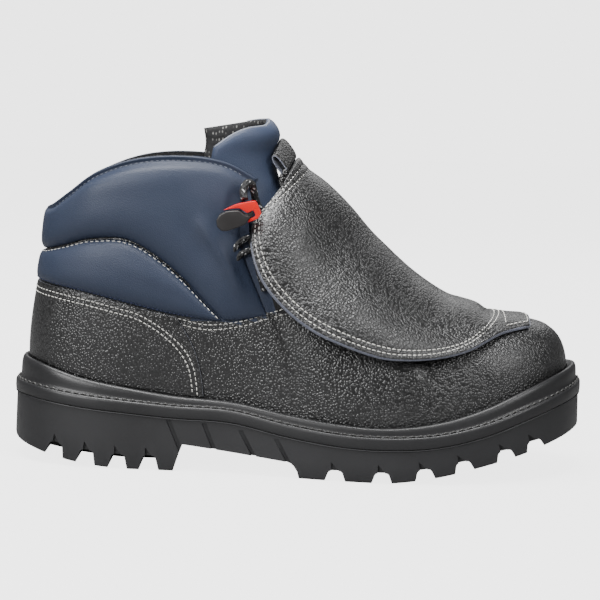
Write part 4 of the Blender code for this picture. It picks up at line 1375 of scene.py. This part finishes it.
def signed_places(last, step, front=None, shares=()):
    """Places from one side round the heel to the other, with the last ones shared out up to a front edge."""
    steps = spaced(0.0, last, step) + [last + (front - last) * share for share in shares]
    return [-place for place in reversed(steps[1:])] + steps


def quarter_low(place):
    return step_height(place) + rim_height(place) + 0.0006


def quarter_point(place, share, lift):
    side, place = sided(place)
    low = quarter_low(place)
    high = line_height("leather_top", place)
    return skin(side, place, low + (high - low) * share, lift)


def quarter_front(share):
    return open_value(QUARTER_FRONT, "rib", share * 3)


def make_rear_quarter():
    inner, outer = [], []
    for share in [0.0, 0.03] + spaced(0.08, 0.92, 0.07) + [0.97, 1.0]:
        front = quarter_front(share)
        line_in, line_out = [], []
        for column in signed_places(5.7, 0.15, front, (0.25, 0.5, 0.75, 0.93, 1.0)):
            at_edge = min(1.0, (front - abs(column)) / 0.05, (1.0 - share) / 0.03)
            lift = quarter_thickness * (0.80 + 0.20 * at_edge)
            line_in.append(quarter_point(column, share, skin_gap))
            line_out.append(quarter_point(column, share, skin_gap + lift))
        inner.append(line_in)
        outer.append(line_out)
    piece = panel("rear_quarter_leather", inner, outer, [grained_leather, cut_edge, cut_edge], 50)
    wear(piece, "grained_leather", "rear_quarter")


# Collar pads: navy leather over foam, sunk at their seams

PAD_FOLDS = table(
    "side x1 z1 x2 z2 width height",
    (
        (-1, 102.0, 132.5, 113.0, 116.5, 2.5, 1.7),
        (-1, 113.0, 116.5, 123.5, 99.5, 2.5, 1.7),
        (-1, 108.0, 140.0, 119.0, 121.0, 3.0, -0.9),
        (-1, 93.0, 131.0, 108.0, 108.0, 4.5, -0.6),
        (-1, 62.0, 108.0, 92.0, 98.0, 4.0, 0.4),
        (-1, 40.0, 150.0, 96.0, 158.0, 5.0, 0.5),
        (1, 96.0, 138.0, 109.5, 119.5, 2.8, 1.1),
        (1, 109.5, 119.5, 120.0, 103.0, 2.8, 1.0),
        (1, 101.5, 141.0, 115.0, 122.0, 3.4, -0.6),
    ),
)


def pillow(share):
    return 1.0 - abs(2.0 * share - 1.0) ** 2.6


def pad_lift(place, across, up, bulge):
    behind = pad_heel_share + (1.0 - pad_heel_share) * min(1.0, place / 4.0) ** 1.5
    return pad_edge + bulge * behind * pillow(up) ** 0.7 * pillow(across) ** 0.35


def roll(distance, reach):
    """Quarter-round rise from 0 at a sewn edge to 1 at a reach from it."""
    share = min(1.0, max(0.0, distance / reach))
    return math.sqrt(1.0 - (1.0 - share) ** 2)


def pad_surface(side, place, height, lift):
    base, normal = over_upper(side, place, height, skin_gap)
    top = base + normal * lift
    return base, top + normal * folds_at(top, PAD_FOLDS) * min(1.0, lift / 0.003)


def lower_pad_limits(place):
    return line_height("leather_top", place) + pad_foot_gap, line_height("pad_seam", place) - pad_seam_gap / 2


def lower_pad_spot(column, share):
    """Spots of the lower pad on the leather under it and on its own face."""
    side, place = sided(column)
    low, high = lower_pad_limits(place)
    across = 0.5 + 0.5 * column / lower_pad_end
    room = min(1.0, (high - low) / 0.016)
    lift = pad_lift(place, across, share, lower_pad_bulge * room)
    edge = min((high - low) * share, (high - low) * (1 - share) * 0.9)
    lift = pad_sewn + (lift - pad_sewn) * roll(edge + 0.0001, lower_pad_roll)
    return pad_surface(side, place, low + (high - low) * share, lift)


def make_lower_pad():
    inner, outer = [], []
    for share in [0.0, 0.03, 0.08] + spaced(0.15, 0.85, 0.07) + [0.92, 0.97, 1.0]:
        spots = [lower_pad_spot(column, share) for column in signed_places(lower_pad_end, 0.12)]
        inner.append([base for base, top in spots])
        outer.append([top for base, top in spots])
    piece = panel("lower_collar_pad", inner, outer, [navy_leather] * 3, 80)
    wear(piece, "navy_leather", "collar_pad_lower")


def upper_pad_front(share):
    return open_value(PAD_FRONT, "rib", share * 5)


def upper_pad_limits(place):
    foot = line_height("leather_top", place) + pad_foot_gap
    low = max(foot, line_height("pad_seam", place) + pad_seam_gap / 2)
    return low, quarter_rib(1, place)[3][2] - collar_edge_gap


pad_end_shares = spaced(0.08, 0.80, 0.08) + [0.86, 0.91, 0.95, 0.975, 1.0]


def upper_pad_spot(column, share, front):
    """Spots of the upper pad: piped top edge, sunk stitch line, then the full pad down to its seam."""
    side, place = sided(column)
    low, high = upper_pad_limits(place)
    full = pad_lift(place, 0.5 + 0.5 * column / front, share, upper_pad_bulge)
    from_top, from_low = (high - low) * (1 - share), (high - low) * share
    from_front = (front - place) * pad_rib_pitch
    # The piping and its stitch line fade out round the heel, and the front end is flatter than the rest.
    settled = min(1.0, place / 2.4)
    flange = 0.38 + 0.62 * min(1.0, from_front / pad_front_flange) ** 0.8
    lift = pad_sewn + (full * flange - pad_sewn) * roll(from_low + 0.0001, upper_pad_roll)
    lift = pad_sewn + (lift - pad_sewn) * roll(from_front + 0.0003, pad_front_roll)
    if from_top < 0.0075:
        groove = 0.0011 * settled * math.exp(-((from_top - collar_groove) / 0.0009) ** 2)
        piped = collar_piping + 0.0009 * roll(from_top, 0.0009) - groove
        swell = min(1.0, max(0.0, (from_top - 0.0026 * settled) / (0.0020 + 0.0026 * settled)))
        swell = swell * swell * (3 - 2 * swell)
        lift = min(lift, piped + (lift - piped) * swell)
    return pad_surface(side, place, low + (high - low) * share, max(0.0003, lift))


def make_upper_pad():
    inner, outer = [], []
    shares = [0.0, 0.015, 0.04, 0.08] + spaced(0.13, 0.85, 0.045)
    shares += [0.88, 0.905, 0.925, 0.945, 0.96, 0.972, 0.984, 0.993, 1.0]
    for share in shares:
        front = upper_pad_front(share)
        columns = signed_places(6.6, 0.11, front, pad_end_shares)
        spots = [upper_pad_spot(column, share, front) for column in columns]
        inner.append([base for base, top in spots])
        outer.append([top for base, top in spots])
    piece = panel("upper_collar_pad", inner, outer, [navy_leather] * 3, 80)
    wear(piece, "navy_leather", "collar_pad_upper")


# Tongue: padded channel, navy leather outside and open mesh inside

tongue_left, tongue_right = -0.93, 0.97


def tongue_point(across, down, depth):
    angle = math.radians(open_value(TONGUE, "wing_angle", down))
    half = half_width * open_value(TONGUE, "half", down)
    reach = collar_height * open_value(TONGUE, "reach", down) * (1 + 0.12 * max(0.0, across))
    turn = across * math.pi / 2
    wing = np.array((-math.cos(angle), 0.0, -math.sin(angle)))
    middle = np.array((shoe_length * open_value(TONGUE, "along", down), 0.0,
                       collar_height * open_value(TONGUE, "up", down)))
    point = middle + wing * reach * (1 - math.cos(turn)) + np.array((0.0, half * math.sin(turn), 0.0))
    tangent = wing * reach * math.sin(turn) + np.array((0.0, half * math.cos(turn), 0.0))
    tangent = tangent / np.linalg.norm(tangent)
    outward = tangent[1] * -wing + np.array((0.0, 1.0, 0.0)) * float(np.dot(tangent, wing))
    return point - outward * depth


def tongue_row(across, level):
    """Row of the tongue at a level: the outer wing starts lower than the inner one."""
    start = 0.36 * min(1.0, max(0.0, -across / 0.3)) + 0.90 * max(0.0, (-across - 0.45) / 0.48) ** 2.2
    start += 0.28 * max(0.0, (across - 0.4) / 0.57)
    return start + (8.0 - start) * level


def tongue_depths(across, level):
    from_side = min(across - tongue_left, tongue_right - across) / 0.10
    edge = min(level / 0.07, (1 - level) / 0.07, from_side, 1.0)
    thin = tongue_edge * 0.55
    thick = thin + (tongue_thickness - thin) * roll(max(0.0, edge), 1.0)
    return (tongue_thickness - thick) / 2, (tongue_thickness + thick) / 2


def make_tongue():
    inner, outer = [], []
    for level in [0.0, 0.008, 0.02, 0.04, 0.06] + spaced(0.08, 1.0, 0.023):
        line_in, line_out = [], []
        for across in [tongue_left, tongue_left + 0.02] + spaced(-0.88, 0.92, 0.045) + [0.95, tongue_right]:
            near, far = tongue_depths(across, level)
            down = tongue_row(across, level)
            line_out.append(tongue_point(across, down, near))
            line_in.append(tongue_point(across, down, far))
        outer.append(line_out)
        inner.append(line_in)
    piece = panel("padded_tongue", inner, outer, [tongue_painted_light_leather, tongue_mesh, tongue_painted_light_leather], 80)
    wear(piece, "navy_leather", "tongue")
    piping = [tongue_point(across, tongue_row(across, 0.004), tongue_thickness * 0.42)
              for across in spaced(tongue_left + 0.01, 0.55, 0.03)]
    wear(tube("tongue_piping", smoothed(piping, 2), 0.00075, 8, pale_piping), "navy_leather")


# Metatarsal guard: thick arched leather with a raw edge and sewn rows

guard_steps = 24


def guard_point(side, place, share):
    def size(column, unit=1.0):
        return unit * open_value(GUARD, column, place)
    middle, spread, sweep = size("mid", half_width), size("spread", half_width), size("sweep")
    ridge = np.array((size("along", shoe_length), middle, size("up", collar_height)))
    edge = np.array((size("edge_along", shoe_length), middle + side * size("edge_half", half_width),
                     size("edge_up", collar_height)))
    run = edge[0] - ridge[0]
    first = ridge + np.array((run * sweep, side * spread, 0.0))
    second = edge + np.array((-run * (0.42 - sweep), -side * spread * size("tuck"), size("lift", half_width)))
    return bezier((ridge, first, second, edge), share)


@functools.lru_cache(maxsize=None)
def guard_rib(side, place):
    """Distance along the guard from each step of a rib to its side edge."""
    line = [guard_point(side, place, step / guard_steps) for step in range(guard_steps + 1)]
    lengths = run_length(line)
    return [lengths[-1] - length for length in lengths]


def from_side_edge(side, place, share):
    """Distance along the guard from a point to its side edge."""
    lengths = guard_rib(side, place)
    spot = share * guard_steps
    low = min(guard_steps - 1, int(spot))
    return lengths[low] + (lengths[low + 1] - lengths[low]) * (spot - low)


def share_from_edge(side, place, distance):
    return sum(halved(0.0, 1.0, 20, lambda share: from_side_edge(side, place, share) > distance)) / 2


def guard_row_path(inset, crossing):
    """Places of a sewn row: along the rear edge, down each side and over the guard before the tab."""
    path = []
    for side in (-1, 1):
        corner = inset / guard_rib_pitch
        half = [(side, corner, share) for share in spaced(0.0, share_from_edge(side, corner, inset), 0.08)]
        down = spaced(corner + 0.25, seam_turn, 0.25)
        half += [(side, place, share_from_edge(side, place, inset)) for place in down]
        last = share_from_edge(side, seam_turn, inset)
        for angle in spaced(0.0, math.pi / 2, 0.12)[1:]:
            place = seam_turn + (crossing - seam_turn) * math.sin(angle)
            half.append((side, place, last * (1.0 - (1.0 - math.cos(angle)) ** 1.15)))
        path.append(half)
    return list(reversed(path[0])) + path[1][1:]


def guard_normal(side, place, share):
    step = 0.03
    ahead = guard_point(side, min(place + 0.2, guard_end), share)
    behind = guard_point(side, max(place - 0.2, 0.0), share)
    out = guard_point(side, place, min(1.0, share + step))
    back = guard_point(side, place, share - step) if share > step else guard_point(-side, place, step - share)
    normal = np.cross(ahead - behind, out - back) * side
    return normal / np.linalg.norm(normal)


def guard_relief(side, place, share):
    """Padded hump inside the sewn rows, flat leather outside them and a rounded raw edge."""
    from_side = from_side_edge(side, place, share)
    distance = min(from_side, place * guard_rib_pitch)
    if place > 8.0:
        distance = min(distance, (hump_end - place) * 0.0068 + 0.0049)
    swell = min(1.0, max(0.0, (distance - hump_start) / hump_run))
    groove = sum(math.exp(-((distance - row) / 0.0007) ** 2) for row in sewn_rows)
    rounded = max(0.0, 1.0 - min(from_side, place * 0.0113) / 0.0009)
    return hump_height * swell * (2.0 - swell) - 0.00022 * groove - 0.0007 * rounded


GUARD_FOLDS = table(
    "side x1 z1 x2 z2 width height",
    (
        (-1, 162, 150, 152, 120, 5.0, 0.5),
        (-1, 176, 138, 170, 108, 5.5, -0.45),
        (-1, 196, 118, 184, 92, 5.0, 0.40),
        (-1, 214, 104, 206, 84, 4.5, -0.35),
        (1, 172, 140, 164, 108, 5.5, -0.45),
        (1, 200, 114, 190, 88, 5.0, 0.40),
    ),
)


def make_guard():
    places = [0.0] + spaced(0.08, 1.28, 0.08) + spaced(1.28, 10.8, 0.165)[1:] + spaced(10.8, 13.0, 0.1)[1:]
    places += spaced(13.0, 14.9, 0.15)[1:] + [guard_end]
    halves = [0.0] + spaced(0.04, 0.80, 0.04) + spaced(0.80, 0.981, 0.0125)[1:] + [1.0]
    columns = [-share for share in reversed(halves[1:])] + halves
    outer, inner = [], []
    for place in places:
        line_out, line_in = [], []
        thinned = min(1.0, max(0.0, (place - guard_tab_row + 1.6) / 1.6))
        full = guard_thickness + (guard_tab - guard_thickness) * thinned
        rim = min(guard_edge, full)
        for side, share in map(sided, columns):
            point, normal = guard_point(side, place, share), guard_normal(side, place, share)
            border = min((1.0 - share) / 0.20, place, 1.0)
            lift = guard_relief(side, place, share) + folds_at(point, GUARD_FOLDS)
            line_out.append(point + normal * lift)
            line_in.append(point - normal * (rim + (full - rim) * max(0.0, border)))
        outer.append(line_out)
        inner.append(line_in)
    piece = panel("instep_guard", inner, outer, [grained_leather, suede_back, cut_edge], 60, 0.124)
    wear(piece, "grained_leather", "metatarsal_guard")


# Pull loop, clip and cord

def make_pull_loop():
    """Flattened ring of leather strap, its cut edges a little rounded."""
    tilt = math.radians(loop_tilt)
    half = [(0.5, 0.30), (0.485, 0.10), (0.45, 0.0), (0.2, 0.0)]
    stations = [(-end, round_off) for end, round_off in half] + list(reversed(half))
    turns = 56
    points, faces, slots = [], [], []
    for base in (0.0, loop_wall):
        inward = 1.0 if base == 0.0 else -1.0
        for end, round_off in stations:
            trim = base + inward * round_off * loop_wall
            for k in range(turns):
                turn = 2 * math.pi * k / turns
                x = (loop_long / 2 - trim) * math.copysign(abs(math.cos(turn)) ** 0.8, math.cos(turn))
                z = (loop_short / 2 - trim) * math.copysign(abs(math.sin(turn)) ** 0.8, math.sin(turn))
                points.append((loop_middle[0] + x * math.cos(tilt) - z * math.sin(tilt) + loop_skew[0] * end,
                               loop_middle[1] + loop_width * end,
                               loop_middle[2] + x * math.sin(tilt) + z * math.cos(tilt) + loop_skew[1] * end))
    shift = len(stations) * turns
    for k in range(turns):
        n = (k + 1) % turns
        for level in range(len(stations) - 1):
            a, b = level * turns + k, level * turns + n
            faces.append((a, b, b + turns, a + turns))
            faces.append((b + shift, a + shift, a + turns + shift, b + turns + shift))
            slots += [0, 1]
        last = (len(stations) - 1) * turns
        faces.append((n, k, k + shift, n + shift))
        faces.append((k + last, n + last, n + last + shift, k + last + shift))
        slots += [2, 2]
    piece = mesh_piece("pull_strap", points, faces, [grained_leather, suede_back, cut_edge], slots, 60)
    wear(piece, "grained_leather", "pull_loop")


def moulded(name, corners, low, high, soft, steps, material):
    """Plastic part of the clip with its edges rounded."""
    piece = side_blocks(name, [(corners, low, high)], [material])
    bevel = piece.modifiers.new("soft_edges", "BEVEL")
    bevel.width = soft
    bevel.segments = steps
    bevel.limit_method = "ANGLE"
    bevel.angle_limit = math.radians(40)
    settle(piece)
    piece.data.shade_smooth()
    piece.data.set_sharp_from_angle(angle=math.radians(50))
    return piece


def clip_corners(rows):
    """Closed outline with two soft points between each pair of corners."""
    count = len(rows)
    corners = []
    for k in range(count):
        near = [rows[(k + step) % count] for step in (-1, 0, 1, 2)]
        for share in (0.0, 0.33, 0.67):
            spot = []
            for axis in ("ahead", "up"):
                values = [row[axis] for row in near]
                straight = values[1] + (values[2] - values[1]) * share
                spot.append((0.35 * eased(*values, share) + 0.65 * straight) / 1000)
            corners.append((clip_ahead + spot[0], clip_up + spot[1]))
    return corners


# Nose of the lever inside the frame's opening, in millimetres from the middle of the clip.
CLIP_CATCH = table(
    "ahead up",
    ((2.4, 0.1), (3.9, 0.4), (6.4, 1.7), (6.9, 0.2), (6.5, -1.5), (4.8, -2.4), (3.3, -3.2), (2.0, -2.6)),
)


def make_clip():
    middle, half = clip_y, frame_depth / 2
    frame_piece = moulded("clip_frame_moulded", clip_corners(CLIP_FRAME), middle - half, middle + half,
                          0.0008, 3, red_plastic)
    wear(frame_piece, "clip_red", "clip_frame")
    middle, half = clip_y - 0.001, lever_depth / 2
    lever = moulded("clip_lever_moulded", clip_corners(CLIP_LEVER), middle - half, middle + half,
                    0.0011, 4, dark_plastic)
    wear(lever, "clip_black", "clip_lever")
    corners = [(clip_ahead + row["ahead"] / 1000, clip_up + row["up"] / 1000) for row in CLIP_CATCH]
    catch = moulded("clip_catch", corners, clip_y - 0.0026, clip_y + 0.0022, 0.0004, 2, dark_plastic)
    wear(catch, "clip_black")


cord_steps = 14


def make_cord():
    line = []
    for step in range((len(CORD) - 1) * cord_steps + 1):
        place = step / cord_steps
        line.append(np.array((shoe_length * open_value(CORD, "along", place),
                              half_width * open_value(CORD, "across", place),
                              collar_height * open_value(CORD, "up", place))))
    wear(tube("braided_cord", line, cord_radius, 20, cord_braid), "cord_black", "lace")


# Doubled tail of the pull loop, sewn under the guard: its middle line in millimetres from the heel
# tip and the floor.
LOOP_TAIL = table(
    "ahead up",
    ((147.6, 163.4), (145.8, 160.6), (144.9, 157.0), (145.9, 152.6), (149.2, 147.4)),
)


def make_loop_tail():
    inner, outer = [], []
    for step in spaced(0.0, len(LOOP_TAIL) - 1.0, 0.25):
        here, past = (np.array([open_value(LOOP_TAIL, axis, step + more) / 1000
                                for axis in ("ahead", "up")]) for more in (-0.05, 0.05))
        run = (past - here) / np.linalg.norm(past - here)
        middle = (here + past) / 2
        line_in, line_out = [], []
        for across in (-0.5, -0.47, -0.25, 0.0, 0.25, 0.47, 0.5):
            lean = np.array(loop_skew) * across * 0.6
            swell = 0.0007 + 0.0021 * math.sin(math.pi * (0.3 + 0.7 * step / (len(LOOP_TAIL) - 1.0)))
            wall = swell * (0.75 if abs(across) == 0.5 else 1.0)
            y = loop_middle[1] + loop_width * across
            line_out.append((middle[0] + lean[0] - run[1] * wall, y, middle[1] + lean[1] + run[0] * wall))
            line_in.append((middle[0] + lean[0] + run[1] * wall, y, middle[1] + lean[1] - run[0] * wall))
        outer.append(line_out)
        inner.append(line_in)
    piece = panel("pull_strap_tail", inner, outer, [grained_leather] * 3, 60)
    wear(piece, "grained_leather")


# Seams

def row_of(spots):
    """Row of a seam from points with their normals, its jitter smoothed away."""
    line = smoothed([point for point, normal in spots], 2)
    return line, [normal for point, normal in spots]


def quarter_spot(side, front_gap, drop):
    """Spot on the rear quarter at a distance behind its front edge and below its top edge."""
    place = 6.0
    for _ in range(3):
        share = 1.0 - drop / (line_height("leather_top", place) - quarter_low(place))
        share = min(1.0, max(0.0, share))
        place = quarter_front(share)
        spot, left = quarter_point(side * place, share, 0.0), front_gap
        while left > 0.0:
            behind = quarter_point(side * (place - 0.02), share, 0.0)
            step = float(np.linalg.norm(behind - spot))
            place -= 0.02 * min(1.0, left / step)
            left -= step
            spot = behind
    height = line_height("leather_top", place) - drop
    return over_upper(side, place, height, skin_gap + quarter_thickness), place


def quarter_seam(inset):
    """Seam under the top edge of the rear quarter that turns down along its front edges."""
    halves = []
    for side in (-1, 1):
        turned = []
        for angle in spaced(0.0, math.pi / 2, 0.09):
            gap_front = inset + quarter_corner * (1 - math.sin(angle))
            turned.append(quarter_spot(side, gap_front, inset + quarter_corner * (1 - math.cos(angle))))
        last = turned[0][1]
        half = []
        for place in spaced(0.0, last - 0.08, 0.12):
            height = line_height("leather_top", place) - inset
            half.append(over_upper(side, place, height, skin_gap + quarter_thickness))
        half += [spot for spot, place in turned]
        drop = inset + quarter_corner
        while drop < line_height("leather_top", 6.0) - quarter_low(6.4) - 0.003:
            drop += 0.002
            half.append(quarter_spot(side, inset, drop)[0])
        halves.append(half)
    return row_of(list(reversed(halves[0])) + halves[1][1:])


def spot_ahead(side, along, height, lift):
    """Spot on the upper at a distance from the heel tip and a height."""
    place = halved(5.0, 9.5, 18, lambda place: skin(side, place, height, 0.0)[0] < along)[0]
    return over_upper(side, place, height, lift)


# White seam along the edge of the vamp's leather: shares of shoe_length and collar_height.
VAMP_SEAM = table(
    "along up",
    ((0.2800, 0.4830), (0.3380, 0.4620), (0.3946, 0.4760), (0.4300, 0.4970), (0.4700, 0.5215)),
)


def vamp_seam(side, drop):
    spots = []
    for step in spaced(0.0, 4.0, 0.12):
        along = shoe_length * open_value(VAMP_SEAM, "along", step)
        up = collar_height * open_value(VAMP_SEAM, "up", step) - drop
        spots.append(spot_ahead(side, along, up, 0.0))
    return row_of(spots)


def lower_pad_row(short, share_of):
    """Row on the lower pad, short of its ends; share_of turns the pad's height into the row's share of it."""
    spots = []
    for column in signed_places(lower_pad_end - short, 0.1):
        low, high = lower_pad_limits(abs(column))
        base, top = lower_pad_spot(column, share_of(high - low))
        spots.append((top, (top - base) / np.linalg.norm(top - base)))
    return row_of(spots)


def collar_row(from_top):
    spots = []
    for side, place in map(sided, signed_places(7.55, 0.1)):
        top = upper_pad_limits(place)[1]
        spots.append(over_upper(side, place, top - from_top, skin_gap + 0.0006))
    return row_of(spots)


def guard_spot(side, place, share):
    normal = guard_normal(side, place, share)
    point = guard_point(side, place, share)
    lift = guard_relief(side, place, share) + folds_at(point, GUARD_FOLDS) + 0.0001
    return point + normal * lift, normal


def guard_seam(inset, crossing):
    """Closed seam: along the rear edge, down each side and over the guard before the tab."""
    return row_of([guard_spot(side, place, share) for side, place, share in guard_row_path(inset, crossing)])


def tab_seam():
    """Stitched frame on the tab; what is inside it is bare."""
    corners = ((12.5, -0.80), (14.6, -0.74), (14.6, 0.74), (12.5, 0.80), (12.5, -0.80))
    spots = []
    for (place_a, share_a), (place_b, share_b) in zip(corners, corners[1:]):
        for step in spaced(0.0, 1.0, 0.08)[:-1]:
            place = place_a + (place_b - place_a) * step
            side, share = sided(share_a + (share_b - share_a) * step)
            spots.append(guard_spot(side, place, share))
    return row_of(spots)


def make_seams():
    leather_rows = [quarter_seam(0.0030), quarter_seam(0.0056)]
    for side in (-1, 1):
        leather_rows += [vamp_seam(side, 0.0), vamp_seam(side, 0.0027)]
    pad_row = lower_pad_row(0.02, lambda height: 1.0 - 0.0007 / height)
    foot_row = lower_pad_row(0.5, lambda height: 0.0010 / height)
    guard_rows = [guard_seam(sewn_rows[0], 12.15), guard_seam(sewn_rows[1], 11.75), tab_seam()]
    seams = (
        ("leather_seams", leather_rows, 0.0027, 0.0021, 0.00056, thread, "grained_leather"),
        ("pad_seam_stitches", [pad_row], 0.0030, 0.0021, 0.00055, thread, "navy_leather"),
        ("collar_edge_stitches", [collar_row(0.0025)], 0.0028, 0.0018, 0.00040, pale_piping, "navy_leather"),
        ("pad_foot_stitches", [foot_row], 0.0023, 0.0016, 0.0006, navy_thread, "navy_leather"),
        ("guard_seams", guard_rows, 0.0028, 0.0022, 0.00058, thread, "grained_leather"),
    )
    for name, rows, pitch, length, thickness, colour, slot in seams:
        wear(stitches(name, rows, pitch, length, thickness, colour), slot)


# Moulded stitch marks on the sole's ledge

def make_ledge_marks():
    line = [outline(side, place, ledge_width(place) * 0.165, step_height(place) + band_height + 0.0003)
            for side, place in joined_loop(spaced(0.0, float(toe_row), 0.1))]
    line.append(line[0])
    normals = [np.array((0.0, 0.0, 1.0))] * len(line)
    # The marks take a lighter rubber than the rim: painted glints along the ledge.
    piece = stitches("ledge_marks", [(line, normals)], 0.0044, 0.0033, 0.0012, painted_glint_rubber, 0.1)
    wear(piece, "rim_rubber")


# Runs of cord over the gusset under the clip, in millimetres from the heel tip and the floor.
CORD_RUNS = (
    table("ahead up", ((118.5, 117.5), (120.5, 121.5), (124.5, 124.6), (130.0, 126.0), (136.0, 126.5))),
    table("ahead up", ((120.0, 112.5), (122.5, 116.4), (127.0, 118.6), (133.0, 119.0))),
)


def make_cord_runs():
    for number, rows in enumerate(CORD_RUNS):
        line = []
        for step in spaced(0.0, len(rows) - 1.0, 0.12):
            along = open_value(rows, "ahead", step) / 1000
            up = open_value(rows, "up", step) / 1000
            line.append(spot_ahead(-1, along, up, 0.0018)[0])
        wear(tube("cord_run_%d" % (number + 1), smoothed(line, 2), 0.0017, 14, cord_braid), "cord_black")


# Pieces of the shoe

make_tread()
make_rim()
make_ledge_marks()
make_upper()
make_rear_quarter()
make_lower_pad()
make_upper_pad()
make_tongue()
make_guard()
make_pull_loop()
make_loop_tail()
make_clip()
make_cord()
make_cord_runs()
make_seams()
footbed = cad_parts["insole"].data.materials
footbed.clear()
footbed.append(footbed_felt)

# Floor

floor_mesh = bpy.data.meshes.new("floor")
reach = 4.0
floor_mesh.from_pydata([(-reach, -reach, 0), (reach, -reach, 0), (reach, reach, 0), (-reach, reach, 0)], [],
                       [(0, 1, 2, 3)])
floor_mesh.materials.append(pale_floor.material)
floor = bpy.data.objects.new("floor", floor_mesh)
bpy.context.scene.collection.objects.link(floor)
